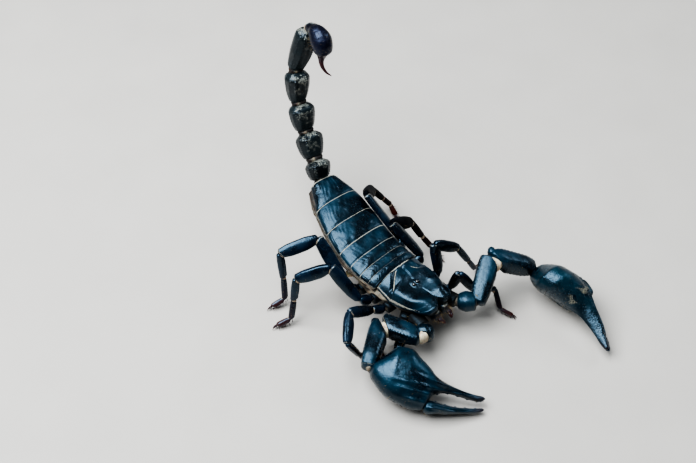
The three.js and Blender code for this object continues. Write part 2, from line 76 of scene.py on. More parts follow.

# Trunk stations: [forward, left, corner height, half width, arch, depth below corners, turn].
TRUNK_STATIONS = [
    [1.7, 0.0, 11.8, 6.8, 2.0, 2.0, -4],
    [-0.1, -0.1, 12.0, 6.9, 1.9, 2.2, -5],
    [-2.6, -0.1, 12.4, 7.0, 1.7, 2.6, -6],
    [-6.0, 0.4, 12.9, 7.1, 1.6, 3.4, -7],
    [-10.3, 1.3, 13.5, 7.1, 1.6, 5.0, -8],
    [-16.3, 3.3, 14.2, 6.8, 1.6, 5.3, -10],
    [-22.8, 5.6, 14.9, 5.9, 1.7, 4.9, -12],
    [-30.0, 8.1, 15.4, 3.5, 1.9, 3.2, -15],
]
TRUNK_POWER = 2.8  # how boxy a trunk section is
SHOULDER = 0.9  # depth of the widest level below the plates' corners
PLEURA = 0.8  # how far the soft flank bulges past the plates
LAST_PLATE = 7
SKIN_FOLDS = 3  # in the soft skin of each joint

TAIL_JOINTS = [
    [-30.3, 8.2, 15.6], [-34.1, 9.7, 20.4], [-38.6, 11.4, 26.4],
    [-42.0, 12.6, 33.9], [-44.1, 13.9, 43.1], [-43.1, 17.7, 54.4],
]
TAIL_SIZES = [[6.3, 5.8], [6.7, 5.9], [6.3, 5.7], [5.9, 5.5], [5.6, 5.1]]  # width, depth
TAIL_ACROSS = [0.32, 0.94, 0]
TELSON_LINE = [  # forward, left, up, radius
    [-43.0, 18.0, 54.9, 1.3], [-42.4, 18.0, 55.5, 1.4], [-41.2, 17.8, 55.9, 1.6],
    [-39.3, 17.2, 56.1, 2.25], [-37.4, 16.5, 55.4, 2.75], [-36.5, 16.0, 53.6, 2.5],
    [-36.5, 15.75, 51.8, 1.35], [-36.4, 15.4, 50.2, 0.72], [-35.8, 15.1, 48.7, 0.48],
    [-34.7, 15.3, 47.3, 0.3], [-33.4, 15.9, 46.4, 0.1],
]

# Leg sections: [t, depth, width] for legs of the fourth pair.
LEG_PROFILES = {
    "trochanter": [[0, 2.5, 2.3], [0.5, 2.7, 2.4], [1, 2.3, 2.1]],
    "femur": [[0, 2.1, 1.7], [0.25, 3.1, 2.0], [0.65, 3.4, 2.0], [1, 2.7, 1.9]],
    "patella": [[0, 2.4, 1.8], [0.35, 3.5, 2.1], [0.7, 3.4, 2.0], [1, 2.4, 1.8]],
    "tibia": [[0, 1.9, 1.5], [0.4, 2.2, 1.7], [0.9, 2.0, 1.6], [1, 1.9, 1.5]],
    "basitarsus": [[0, 1.5, 1.3], [0.5, 1.7, 1.4], [1, 1.6, 1.4]],
    "tarsus": [[0, 1.3, 1.2], [0.5, 1.5, 1.3], [0.8, 1.4, 1.4], [1, 1.2, 1.3]],
}
LEG_SCALE = [0.8, 0.88, 1.0, 1.0]
# Legs: coxa end, trochanter end, knee, patella end, tibia end, basitarsus end, claw tip.
LEGS = {
    "leg_1_right": [[10.2, -6.7, 6.2], [11.8, -8.7, 5.6], [14.0, -13.4, 3.9], [19.6, -15.2, 3.2],
                    [15.6, -17.6, 2.6], [12.4, -16.6, 1.7], [8.8, -14.2, 0.4]],
    "leg_2_right": [[5.2, -7.9, 7.9], [3.4, -10.6, 8.5], [2.3, -18.2, 14.1], [7.4, -24.9, 13.2],
                    [8.2, -21.8, 6.4], [9.0, -19.6, 2.2], [12.8, -21.6, 0.4]],
    "leg_3_right": [[0.9, -8.2, 8.3], [-0.7, -10.8, 9.0], [-8.7, -12.6, 17.2], [-14.5, -19.1, 14.1],
                    [-14.3, -20.4, 7.4], [-13.4, -22.7, 2.2], [-15.8, -27.1, 0.4]],
    "leg_4_right": [[-3.6, -8.0, 8.2], [-5.6, -9.9, 9.2], [-16.8, -8.3, 18.2], [-21.7, -17.2, 16.5],
                    [-20.5, -17.6, 8.6], [-18.9, -19.1, 2.3], [-20.8, -23.7, 0.4]],
    "leg_1_left": [[11.0, 6.8, 6.3], [12.8, 9.0, 6.6], [14.8, 9.1, 14.0], [17.2, 12.9, 5.8],
                   [21.1, 16.7, 5.6], [24.5, 14.9, 2.0], [28.8, 16.2, 0.4]],
    "leg_2_left": [[6.8, 7.2, 7.4], [8.4, 9.6, 8.0], [5.7, 10.2, 17.1], [8.6, 16.4, 12.4],
                   [10.5, 19.0, 6.4], [11.7, 20.8, 2.3], [11.9, 25.2, 0.4]],
    "leg_3_left": [[1.6, 8.0, 8.0], [2.0, 10.6, 8.9], [-6.8, 8.9, 16.6], [-6.3, 16.0, 11.3],
                   [-3.9, 17.8, 5.9], [-1.5, 19.2, 2.2], [3.4, 18.3, 0.4]],
    "leg_4_left": [[-3.6, 8.4, 8.4], [-5.4, 11.0, 9.5], [-17.4, 11.2, 17.6], [-21.1, 17.6, 11.9],
                   [-20.3, 21.0, 6.2], [-19.4, 23.4, 2.2], [-15.5, 21.8, 0.4]],
}

# Pedipalps. joints: coxa end, trochanter end, elbow, wrist, fixed finger's tip. outer: the way
# the hand's outer edge points. bow: how far its middle is lifted. closed: how far the movable
# finger closes. slim: from and to where the outer edge is slimmer, and by how much. joint_gap:
# the bare skin before the femur. skin_pale: how pale the skin of each joint is. rough, dusty
# and granules: how grained the hand is.
PEDIPALPS = {
    "right": {
        "joints": [[15.9, -6.0, 8.1], [18.9, -9.0, 8.5], [7.6, -12.4, 8.4], [13.6, -24.4, 8.4],
                   [38.2, -9.3, 2.8]],
        "outer": [0.48, -0.77, -0.42], "bow": 0.8, "closed": 0.0, "slim": (0.52, 0.66, 1.0),
        "joint_gap": 0.9, "skin_pale": (0.15, 1.0, 1.0, 0.3), "rough": 0.22, "dusty": 0,
        "granules": {"radius": 0.08, "spacing": 0.3},
    },
    "left": {
        "joints": [[17.3, 5.4, 8.4], [21.7, 8.4, 9.0], [17.3, 18.7, 13.2], [25.1, 27.0, 7.8],
                   [52.9, 20.9, 4.4]],
        "outer": [0.05, 0.5, -0.86], "bow": 3.1, "closed": 1.6, "slim": (0.33, 0.58, 1.5),
        "joint_gap": -0.9, "skin_pale": (0.15, 0.12, 1.0, 0.3), "rough": 1.0, "dusty": 1,
        "granules": {"radius": 0.2, "spacing": 0.52, "sink": 0.62},
    },
}
PEDIPALP_ROOT = [11.2, 4.7, 7.7]
PEDIPALP_PROFILES = {
    "coxa": [[0, 3.2, 3.2], [0.5, 3.4, 3.8], [1, 3.1, 3.8]],
    "trochanter": [[0, 3.4, 3.6], [0.5, 4.9, 5.0], [1, 4.0, 4.1]],
    "femur": [[0, 3.3, 3.6], [0.3, 4.4, 4.8], [0.8, 4.8, 5.3], [1, 4.5, 4.9]],
    "patella": [[0, 3.8, 3.8], [0.25, 5.2, 5.1], [0.75, 5.1, 4.5], [1, 3.6, 3.4]],
}
CHELICERA_JOINTS = [[13.2, 1.6, 8.6], [16.8, 1.65, 8.7], [18.4, 1.5, 8.2], [19.2, 1.1, 7.4]]
# Hand with its fixed finger: [along, inner edge, outer edge, half depth].
HAND_STATIONS = [
    [0.02, -1.1, 1.8, 1.7], [0.08, -2.6, 3.4, 3.1], [0.14, -4.6, 4.9, 3.9], [0.21, -6.7, 6.1, 4.4],
    [0.31, -6.9, 6.9, 4.4], [0.41, -5.1, 7.4, 4.15], [0.5, -3.4, 7.0, 3.6], [0.56, -1.9, 3.2, 2.9],
    [0.63, -1.0, 2.6, 2.3], [0.72, -0.4, 2.4, 1.8], [0.82, 0.0, 2.5, 1.45], [0.91, 0.1, 2.1, 1.1],
    [0.97, 0.0, 1.5, 0.75], [1.0, 0.1, 0.8, 0.4],
]
FINGER_STATIONS = [
    [0.5, 4.4, 7.2, 2.0], [0.58, 4.2, 7.8, 2.3], [0.67, 4.4, 7.7, 2.0], [0.76, 4.3, 7.0, 1.75],
    [0.85, 3.9, 6.1, 1.4], [0.93, 3.4, 5.0, 1.0], [0.99, 2.9, 3.9, 0.6], [1.01, 2.8, 3.4, 0.35],
]
FINGER_ROOT = 0.52

# What each point of a skin tells the materials, the granules and the hairs. dark is mostly painted
# shade; on the fingers it is their own darker tone.
MARKS = ("pale", "warm", "dark", "grain", "bristle")
SIDES = {"left": 1, "right": -1}
UP = (0.0, 0.0, 1.0)
UPPER_SIDE, UNDERSIDE = 90, 270  # degrees round a section

# ---- camera, floor and light --------------------------------------------------------------
CAMERA_SPOT = (-0.16246, -0.12247, 0.2689)  # metres
CAMERA_WAY = (0.4836, 0.4235, -0.766)
CAMERA_LENS = 67.18

# Softboxes: name, place in metres, size, watts, colour.
SOFTBOXES = [
    ("key_light", (-0.13, 0.12, 0.42), 0.38, 5.9, (0.84, 0.93, 1.0)),
    ("side_light", (0.36, -0.12, 0.3), 0.16, 0.5, (0.8, 0.92, 1.0)),
]
LIT_SPOT = (0, 0, 0.015)  # metres
SKY = (0.74, 0.87, 1.0)
SKY_STRENGTH = 0.2


def add_camera():
    camera = bpy.data.objects.new("camera", bpy.data.cameras.new("camera"))
    camera.data.lens = CAMERA_LENS
    camera.data.clip_start = 0.005
    camera.location = CAMERA_SPOT
    camera.rotation_euler = Vector(CAMERA_WAY).to_track_quat("-Z", "Y").to_euler()
    bpy.context.scene.collection.objects.link(camera)
    bpy.context.scene.camera = camera


def add_softbox(name, spot, size, watts, colour):
    """A square area light that looks at the middle of the animal."""
    light = bpy.data.lights.new(name, "AREA")
    light.size = size
    light.energy = watts
    light.color = colour
    softbox = bpy.data.objects.new(name, light)
    softbox.location = spot
    way = Vector(LIT_SPOT) - Vector(spot)
    softbox.rotation_euler = way.to_track_quat("-Z", "Y").to_euler()
    bpy.context.scene.collection.objects.link(softbox)


def add_lights():
    for softbox in SOFTBOXES:
        add_softbox(*softbox)
    view = bpy.context.scene.view_settings
    view.view_transform = "AgX"
    view.look = "AgX - High Contrast"
    world = bpy.data.worlds.new("studio")
    bpy.context.scene.world = world
    world.use_nodes = True
    background = world.node_tree.nodes["Background"]
    background.inputs["Color"].default_value = rgba(SKY)
    background.inputs["Strength"].default_value = SKY_STRENGTH


# ---- node graphs --------------------------------------------------------------------------
class Signal:
    """One output of a node. Arithmetic on it adds Math nodes."""

    def __init__(self, graph, socket):
        self.graph = graph
        self.socket = socket

    def maths(self, operation, *inputs):
        return self.graph.add("ShaderNodeMath", {"operation": operation}, dict(enumerate(inputs)))

    def __add__(self, other):
        return self.maths("ADD", self, other)

    __radd__ = __add__

    def __sub__(self, other):
        return self.maths("SUBTRACT", self, other)

    def __rsub__(self, other):
        return self.maths("SUBTRACT", other, self)

    def __mul__(self, other):
        return self.maths("MULTIPLY", self, other)

    __rmul__ = __mul__

    def ramp(self, low, high):
        """0 below `low`, 1 above `high`, and smooth between them."""
        return self.graph.add("ShaderNodeMapRange", {"interpolation_type": "SMOOTHSTEP"},
                              {"Value": self, 1: low, 2: high})


class Graph:
    """A node tree. Its nodes come from one method."""

    def __init__(self, tree):
        self.tree = tree

    def add(self, kind, settings=None, inputs=None, output=0):
        node = self.tree.nodes.new(kind)
        for name, value in (settings or {}).items():
            setattr(node, name, value)
        for name, value in (inputs or {}).items():
            if isinstance(value, Signal):
                self.tree.links.new(value.socket, node.inputs[name])
            else:
                node.inputs[name].default_value = value
        return Signal(self, node.outputs[output])

    def vectors(self, operation, first, second):
        return self.add("ShaderNodeVectorMath", {"operation": operation}, {0: first, 1: second})

    def scale(self, vector, factor):
        return self.add("ShaderNodeVectorMath", {"operation": "SCALE"},
                        {0: vector, "Scale": factor})

    def mix(self, factor, first, second):
        """Mixes two colours: sockets 6 and 7 are a Mix node's colour inputs."""
        return self.add("ShaderNodeMix", {"data_type": "RGBA"},
                        {0: factor, 6: first, 7: second}, 2)

    def noise(self, where, scale, detail=2.0):
        return self.add("ShaderNodeTexNoise",
                        inputs={"Vector": where, "Scale": scale, "Detail": detail})

    def bump(self, height, depth, normal=None):
        """A relief of `depth` millimetres."""
        inputs = {"Height": height, "Distance": depth * MM, "Strength": 1.0}
        if normal:
            inputs["Normal"] = normal
        return self.add("ShaderNodeBump", inputs=inputs)

    def mark(self, name):
        return self.add("ShaderNodeAttribute", {"attribute_name": name}, output="Fac")

    def stored(self, kind, name):
        """An attribute of the mesh, in a geometry tree."""
        return self.add("GeometryNodeInputNamedAttribute", {"data_type": kind}, {"Name": name})

    def chance(self, low, high, seed):
        """A random number for each instance."""
        return self.add("FunctionNodeRandomValue", {"data_type": "FLOAT"},
                        {2: low, 3: high, "Seed": seed}, 1)


def rgba(colour, factor=1.0):
    return (*(factor * part for part in colour), 1.0)


CREAM = (0.52, 0.43, 0.3)
MARGIN = (0.35, 0.315, 0.25)
RED_BROWN = (0.045, 0.009, 0.005)
DUST = (0.3, 0.31, 0.3)
BLUE_SHEEN = (0.5, 0.78, 1.0)


def new_material(name):
    """An empty material, its graph, and the Object coordinates in millimetres."""
    material = bpy.data.materials.new(name)
    material.use_nodes = True
    material.node_tree.nodes.clear()
    graph = Graph(material.node_tree)
    spot = graph.add("ShaderNodeTexCoord", output="Object")
    return material, graph, graph.scale(spot, 1 / MM)


def close_material(graph, **inputs):
    """Ends a graph in a Principled shader, whose inputs are named with _ for spaces."""
    shader = graph.add("ShaderNodeBsdfPrincipled", inputs={
        name.replace("_", " "): value for name, value in inputs.items()})
    output = graph.tree.nodes.new("ShaderNodeOutputMaterial")
    graph.tree.links.new(shader.socket, output.inputs["Surface"])


def chitin(name, deep, light, roughness, pitting=0.008, dust=0.3, pale_tone=MARGIN, speckled=0.3,
           specks=5.2, coat=0.2, level=0.5, sheen=BLUE_SHEEN):
    """Hard shell: a deep ground with lighter clouds, pale where marked, and a wet gloss.

    pitting is a depth in millimetres, dust how much dust clings, and speckled how far the pale
    marks break up into grains, of which there are `specks` to a millimetre. coat is the wet
    film; level and sheen are the strength and the colour of the shell's own reflection.
    """
    material, graph, spot = new_material(name)
    clouds = graph.noise(spot, 0.17, 3.0).ramp(0.38, 0.66)
    fine = graph.noise(spot, 2.3, 3.0)
    speckle = graph.noise(spot, specks)
    dents = graph.noise(spot, 0.55)
    colour = graph.mix(clouds, rgba(deep), rgba(light))
    colour = graph.mix(fine.ramp(0.5, 0.8) * 0.4, colour, rgba(light, 1.7))
    # The dark mark darkens towards the deep tone: painted shade on most pieces, and the fingers'
    # own darker tone.
    colour = graph.mix(graph.mark("dark") * 0.9, colour, rgba(deep, 0.5))
    colour = graph.mix(graph.mark("warm"), colour, rgba(RED_BROWN))
    dusty = speckle.ramp(0.66, 0.74) * graph.noise(spot, 0.5).ramp(0.45, 0.62) * dust
    grains = (1 - speckled) + (2 * speckled) * speckle.ramp(0.4, 0.6)
    cream = (graph.mark("pale") * (0.7 + 0.5 * fine) * grains).ramp(0.3, 0.62)
    colour = graph.mix(dusty, colour, rgba(DUST))
    colour = graph.mix(cream, colour, rgba(pale_tone))
    cells = graph.add("ShaderNodeTexVoronoi", {"feature": "SMOOTH_F1"},
                      {"Vector": spot, "Scale": 3.4, "Smoothness": 0.35})
    relief = graph.bump(fine, 0.018, graph.bump(cells, pitting, graph.bump(dents, 0.15)))
    gloss = roughness + 0.12 * (fine - 0.5) + 0.14 * (clouds - 0.5) + 0.25 * cream + 0.2 * dusty
    close_material(graph, Base_Color=colour, Roughness=gloss, Normal=relief,
                   Specular_IOR_Level=level, Specular_Tint=rgba(sheen), Coat_Weight=coat,
                   Coat_Roughness=0.18)
    return material


def shell_finish():
    return chitin("shell_finish", (0.0006, 0.0018, 0.0034), (0.002, 0.0145, 0.0262), 0.34,
                  speckled=0.45, coat=0.05, level=0.56, sheen=(0.52, 0.79, 1.0))


def hand_finish():
    return chitin("hand_finish", (0.0006, 0.0026, 0.005), (0.0016, 0.0175, 0.031), 0.33,
                  pitting=0.012, dust=0.35, coat=0.04, level=0.66)


def grained_hand_finish():
    return chitin("grained_hand_finish", (0.0007, 0.0035, 0.006), (0.0014, 0.0185, 0.029), 0.33,
                  pitting=0.06, dust=0.7, pale_tone=(0.2, 0.17, 0.115), speckled=0.35,
                  coat=0.06, level=0.66)


def tail_finish():
    return chitin("tail_finish", (0.0012, 0.0027, 0.0034), (0.003, 0.0082, 0.0098), 0.37,
                  pitting=0.03, dust=0.7, pale_tone=(0.165, 0.16, 0.135), speckled=0.8,
                  specks=3.4, coat=0.05, sheen=(0.8, 0.9, 1.0))


def telson_finish():
    return chitin("telson_finish", (0.0014, 0.0012, 0.0042), (0.0042, 0.0042, 0.0132), 0.36,
                  pitting=0.02, dust=0.15, pale_tone=(0.2, 0.21, 0.19), speckled=0.4,
                  coat=0.05, sheen=(0.6, 0.7, 1.0))


def leg_finish():
    return chitin("leg_finish", (0.0005, 0.0014, 0.0038), (0.0014, 0.007, 0.018), 0.28,
                  pitting=0.012, dust=0.25, coat=0.04, level=0.58)


# A shaded copy of the leg finish for two far legs: painted shade, browner and almost without
# reflection.
def shaded_leg_finish():
    return chitin("shaded_leg_finish", (0.0016, 0.002, 0.003), (0.006, 0.0065, 0.0095), 0.5,
                  pitting=0.012, dust=0.25, coat=0.0, level=0.03)


def belly_finish():
    return chitin("belly_finish", (0.0035, 0.0035, 0.004), (0.0095, 0.0085, 0.008), 0.38,
                  pitting=0.02, dust=0.2, pale_tone=CREAM, coat=0.0, level=0.2)


def comb_finish():
    """Waxy tan comb teeth."""
    material, graph, spot = new_material("comb_finish")
    fine = graph.noise(spot, 2.0, 3.0)
    colour = graph.mix(fine, rgba((0.36, 0.24, 0.12)), rgba((0.6, 0.46, 0.27)))
    close_material(graph, Base_Color=colour, Roughness=0.45 + 0.2 * fine,
                   Normal=graph.bump(fine, 0.03), Subsurface_Weight=0.1, Subsurface_Scale=0.001)
    return material


def membrane_finish():
    """Soft joint skin: cream, browner and finely wrinkled in places, dark red where marked."""
    black, cream, brown = (0.008, 0.006, 0.006), (0.56, 0.46, 0.33), (0.2, 0.09, 0.04)
    wrinkle, red = (0.06, 0.035, 0.025), (0.13, 0.01, 0.008)
    material, graph, spot = new_material("membrane_finish")
    blotches = graph.noise(spot, 0.55, 4.0)
    fine = graph.noise(spot, 3.2, 3.0)
    pale = graph.mark("pale")
    colour = graph.mix(pale, rgba(black), rgba(cream))
    colour = graph.mix(blotches.ramp(0.5, 0.72) * (0.08 + 0.55 * pale), colour, rgba(brown))
    colour = graph.mix(fine.ramp(0.52, 0.75) * 0.5, colour, rgba(wrinkle))
    colour = graph.mix(graph.mark("warm"), colour, rgba(red))
    close_material(graph, Base_Color=colour, Roughness=0.38 + 0.25 * fine,
                   Normal=graph.bump(fine, 0.06, graph.bump(blotches, 0.15)),
                   Subsurface_Weight=0.12, Subsurface_Scale=0.0008, Specular_IOR_Level=0.35)
    return material


def bristle_finish():
    """Golden to red-brown hair."""
    material, graph, spot = new_material("bristle_finish")
    fine = graph.noise(spot, 1.5)
    colour = graph.mix(fine.ramp(0.4, 0.6), rgba((0.07, 0.025, 0.012)), rgba((0.42, 0.27, 0.1)))
    close_material(graph, Base_Color=colour, Roughness=0.4 + 0.1 * fine)
    return material


def eye_finish():
    """Wet black eyes."""
    material, graph, spot = new_material("eye_finish")
    fine = graph.noise(spot, 4.0)
    colour = graph.mix(fine, rgba((0.002, 0.002, 0.003)), rgba((0.012, 0.008, 0.006)))
    close_material(graph, Base_Color=colour, Roughness=0.05 + 0.05 * fine, Coat_Weight=1.0,
                   Coat_Roughness=0.03)
    return material


def floor_finish():
    """Plain pale board."""
    material, graph, spot = new_material("floor_finish")
    fine = graph.noise(spot, 0.05, 4.0)
    colour = graph.mix(fine, rgba((0.4, 0.355, 0.315)), rgba((0.455, 0.405, 0.36)))
    close_material(graph, Base_Color=colour, Roughness=0.7 + 0.1 * fine)
    return material


# ---- shape helpers ------------------------------------------------------------------------
def unit(vector):
    vector = np.asarray(vector, float)
    return vector / np.linalg.norm(vector, axis=-1, keepdims=True)


def turned(step):
    """A [forward, left, up] step on the model's axes."""
    step = np.asarray(step, float)
    return np.stack([step[..., 1], -step[..., 0], step[..., 2]], -1)


def place(spot):
    """A [forward, left, up] spot on the model's axes."""
    return turned(spot) + [*REAR_MID, 0.0]


def mirrored(spot, sign):
    """A spot given for the left side, on the side that `sign` says."""
    return [spot[0], sign * spot[1], spot[2]]


def heading(way):
    return unit(turned(way))


def square_to(side, axis):
    """The part of `side` that is square to `axis`, as a unit vector."""
    side = np.broadcast_to(np.asarray(side, float), np.shape(axis))
    return unit(side - np.sum(side * axis, -1, keepdims=True) * axis)


def smooth(x, stations, values):
    """Runs through `values` at `stations` on a cubic curve that never overshoots."""
    stations = np.asarray(stations, float)
    values = np.asarray(values, float)
    gap = np.diff(stations)
    slope = np.diff(values) / gap
    tangent = np.zeros_like(values)
    product = slope[1:] * slope[:-1]
    total = np.where(np.abs(slope[1:] + slope[:-1]) < 1e-12, 1, slope[1:] + slope[:-1])
    tangent[1:-1] = np.where(product > 0, 2 * product / total, 0)
    tangent[[0, -1]] = slope[[0, -1]]
    x = np.clip(x, stations[0], stations[-1])
    i = np.clip(np.searchsorted(stations, x) - 1, 0, len(gap) - 1)
    t = (x - stations[i]) / gap[i]
    rise = t * t * (3 - 2 * t)
    return (values[i] + rise * (values[i + 1] - values[i])
            + gap[i] * (t * (1 - t) ** 2 * tangent[i] - t * t * (1 - t) * tangent[i + 1]))


def ramp(x, low, high):
    """Smooth step from 0 at `low` to 1 at `high`; `low` may be the larger one."""
    t = np.clip((x - low) / (high - low), 0, 1)
    return t * t * (3 - 2 * t)


def hump(x, centre, width):
    return np.exp(-((x - centre) / width) ** 2)


def dome(distance, radius):
    """Closes a section over its last `radius`, as a dome does; never quite to nothing."""
    return np.sqrt(np.clip(1 - np.clip(1 - distance / radius, 0, 1) ** 2, 0.0016, 1))


def near_ends(count):
    """From 0 to 1, with more steps near both ends."""
    return (1 - np.cos(np.linspace(0, math.pi, count))) / 2


def mottle(points, size, seed, waves=14):
    """A smooth random field of about -1 to 1, with blotches about `size` across."""
    random = np.random.default_rng(seed)
    ways = unit(random.normal(size=(waves, 3)))
    ways = ways * random.uniform(0.6, 1.4, (waves, 1)) * math.pi / size
    phases = random.uniform(0, 2 * math.pi, waves)
    return np.sin(points @ ways.T + phases).sum(-1) / math.sqrt(waves)


def crumple(rings, depth, size, seed):
    """Moves the points of a skin in and out by about `depth`, in blotches of `size`."""
    outward = unit(rings - rings.mean(1, keepdims=True))
    return rings + (depth * mottle(rings, size, seed))[..., None] * outward


def round_section(sides, power):
    """Angles round a section and its unit outline: power 2 is an ellipse, more is boxier."""
    angle = (np.arange(sides) + 0.5) * 2 * math.pi / sides
    soften = [np.sign(f) * np.abs(f) ** (2 / power) for f in (np.cos(angle), np.sin(angle))]
    return angle, soften[0], soften[1]


def keel(angle, degrees, width):
    """1 on a lengthwise keel at `degrees` round a section, falling off to both sides.

    angle is in radians; degrees and width are in degrees.
    """
    away = (np.degrees(angle) - degrees + 180) % 360 - 180
    return np.exp(-(away / width) ** 2)


def keel_pair(angle, degrees, width):
    """A keel and its mirror image on the other side of the section."""
    return keel(angle, degrees, width) + keel(angle, 180 - degrees, width)


def beads(t, count):
    """Rounded beads along a keel."""
    return 0.55 + 0.45 * np.cos(2 * math.pi * count * t)


class Sculpture:
    """Closed skins that are gathered into one piece."""

    def __init__(self):
        self.points, self.faces, self.unwrap = [], [], []
        self.marks = {name: [] for name in MARKS}
        self.total = 0
        self.skins = 0

    def _keep(self, points, quads, fans, unwrap, marks):
        a, b, c, d = (points[quads[:, i]] - points.mean(0) for i in range(4))
        volume = np.sum(a * (np.cross(b, c) + np.cross(c, d)))
        turn = -1 if volume < 0 else 1
        self.faces += (quads[:, ::turn] + self.total).tolist()
        self.faces += (fans[:, ::turn] + self.total).tolist()
        self.points.append(points)
        self.unwrap.append(np.stack([(unwrap[:, 0] + self.skins) / 8 % 1, unwrap[:, 1]], -1))
        for name in MARKS:
            self.marks[name].append(np.clip(marks[name], 0, 1))
        self.total += len(points)
        self.skins += 1

    def add(self, rings, **marks):
        """A skin over rings of points, with a pole at each end."""
        count, sides = rings.shape[:2]
        index = np.arange(count * sides).reshape(count, sides)
        beside = np.roll(index, -1, axis=1)
        quads = np.stack([index[:-1], beside[:-1], beside[1:], index[1:]], -1).reshape(-1, 4)
        first, last = np.full(sides, count * sides), np.full(sides, count * sides + 1)
        fans = np.concatenate([np.stack([first, beside[0], index[0]], -1),
                               np.stack([last, index[-1], beside[-1]], -1)])
        points = np.concatenate([rings.reshape(-1, 3), rings[[0, -1]].mean(1)])
        along, around = np.meshgrid(np.linspace(0.02, 0.98, count), np.arange(sides) / sides,
                                    indexing="ij")
        poles = [[0.01, 0.5], [0.99, 0.5]]
        unwrap = np.concatenate([np.stack([along, around], -1).reshape(-1, 2), poles])
        values = {}
        for name in MARKS:
            value = np.broadcast_to(marks.get(name, 0.0), (count, sides))
            values[name] = np.concatenate([value.ravel(), value[[0, -1]].mean(1)])
        self._keep(points, quads, fans, unwrap, values)

    def add_slab(self, upper, lower, **marks):
        """A plate between two grids of points, closed round its edges."""
        rows, columns = upper.shape[:2]
        top = np.arange(rows * columns).reshape(rows, columns)
        below = rows * columns

        def sheet(index):
            corners = [index[:-1, :-1], index[:-1, 1:], index[1:, 1:], index[1:, :-1]]
            return np.stack(corners, -1).reshape(-1, 4)

        rim = np.concatenate([top[0, :-1], top[:-1, -1], top[-1, :0:-1], top[:0:-1, 0]])
        after = np.roll(rim, -1)
        wall = np.stack([after, rim, rim + below, after + below], -1)
        quads = np.concatenate([sheet(top), sheet(top + below)[:, ::-1], wall])
        points = np.concatenate([upper.reshape(-1, 3), lower.reshape(-1, 3)])
        along, around = np.meshgrid(np.linspace(0, 1, rows), np.linspace(0, 0.48, columns),
                                    indexing="ij")
        flat = np.stack([along, around], -1).reshape(-1, 2)
        unwrap = np.concatenate([flat, flat + [0, 0.5]])
        values = {}
        for name in MARKS:
            value = np.broadcast_to(marks.get(name, 0.0), (rows, columns)).ravel()
            values[name] = np.concatenate([value, np.zeros_like(value)])
        self._keep(points, quads, np.zeros((0, 3), int), unwrap, values)

    def piece(self, name, material):
        mesh = bpy.data.meshes.new(name)
        mesh.from_pydata((np.concatenate(self.points) * MM).tolist(), [], self.faces)
        mesh.shade_smooth()
        mesh.materials.append(material)
        for mark, values in self.marks.items():
            layer = mesh.attributes.new(mark, "FLOAT", "POINT")
            layer.data.foreach_set("value", np.concatenate(values).astype(np.float32))
        layer = mesh.attributes.new("unwrap", "FLOAT2", "POINT")
        layer.data.foreach_set("vector", np.concatenate(self.unwrap).astype(np.float32).ravel())
        made = bpy.data.objects.new(name, mesh)
        bpy.context.scene.collection.objects.link(made)
        return made


def settle(piece, node):
    """Lifts a finished piece above the floor and puts it on the body, in place of a CAD node."""
    keep_above_floor(piece.data)
    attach(piece, "root")
    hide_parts(node)


# ---- granules and hairs -------------------------------------------------------------------
def new_tree(name, sizes):
    """An empty geometry tree with a mesh input, a number for each name in `sizes` and a finish."""
    tree = bpy.data.node_groups.new(name, "GeometryNodeTree")
    inputs = {"Mesh": "NodeSocketGeometry", **sizes, "Finish": "NodeSocketMaterial"}
    for socket, kind in inputs.items():
        tree.interface.new_socket(socket, in_out="INPUT", socket_type=kind)
    tree.interface.new_socket("Mesh", in_out="OUTPUT", socket_type="NodeSocketGeometry")
    graph = Graph(tree)
    sockets = tree.nodes.new("NodeGroupInput").outputs
    return tree, graph, {socket.name: Signal(graph, socket) for socket in sockets if socket.name}


DENSEST = 4e7  # points per square metre, before the spacing thins them


def scatter(graph, given, mark):
    """Random points on the mesh, where the mark lets them, and the normals there."""
    spots = graph.tree.nodes.new("GeometryNodeDistributePointsOnFaces")
    spots.distribute_method = "POISSON"
    spots.inputs["Density Max"].default_value = DENSEST
    given = {"Mesh": given["Mesh"], "Distance Min": given["Spacing"], "Seed": given["Seed"],
             "Density Factor": graph.stored("FLOAT", mark)}
    for name, value in given.items():
        graph.tree.links.new(value.socket, spots.inputs[name])
    return Signal(graph, spots.outputs["Points"]), Signal(graph, spots.outputs["Normal"])


def end_tree(graph, geometry, finish):
    """Ends a tree in real, smooth, finished geometry."""
    real = graph.add("GeometryNodeRealizeInstances", inputs={"Geometry": geometry})
    even = graph.add("GeometryNodeSetShadeSmooth", inputs={"Geometry": real})
    return graph.add("GeometryNodeSetMaterial", inputs={"Geometry": even, "Material": finish})


def close_tree(graph, geometry):
    output = graph.tree.nodes.new("NodeGroupOutput")
    graph.tree.links.new(geometry.socket, output.inputs[0])


def granule_tree():
    """Small round granules, half sunk in the shell, joined to it."""
    tree, graph, given = new_tree("granules", {
        "Spacing": "NodeSocketFloat", "Radius": "NodeSocketFloat", "Sink": "NodeSocketFloat",
        "Seed": "NodeSocketInt"})
    points, normal = scatter(graph, given, "grain")
    inward = graph.scale(normal, 0 - given["Sink"])
    points = graph.add("GeometryNodeSetPosition", inputs={"Geometry": points, "Offset": inward})
    bead = graph.add("GeometryNodeMeshIcoSphere", inputs={"Radius": 1.0, "Subdivisions": 1})
    size = graph.chance(0.55, 1.3, given["Seed"])
    turn = graph.add("FunctionNodeRandomValue", {"data_type": "FLOAT_VECTOR"},
                     {0: (0, 0, 0), 1: (6.28, 6.28, 6.28), "Seed": given["Seed"]})
    beads_made = graph.add("GeometryNodeInstanceOnPoints", inputs={
        "Points": points, "Instance": bead, "Scale": size * given["Radius"], "Rotation": turn})
    joined = graph.tree.nodes.new("GeometryNodeJoinGeometry")
    graph.tree.links.new(beads_made.socket, joined.inputs[0])
    graph.tree.links.new(given["Mesh"].socket, joined.inputs[0])
    close_tree(graph, end_tree(graph, Signal(graph, joined.outputs[0]), given["Finish"]))
    return tree


HAIR_PATCH = 0.0015  # width of one hair's patch in the UV map


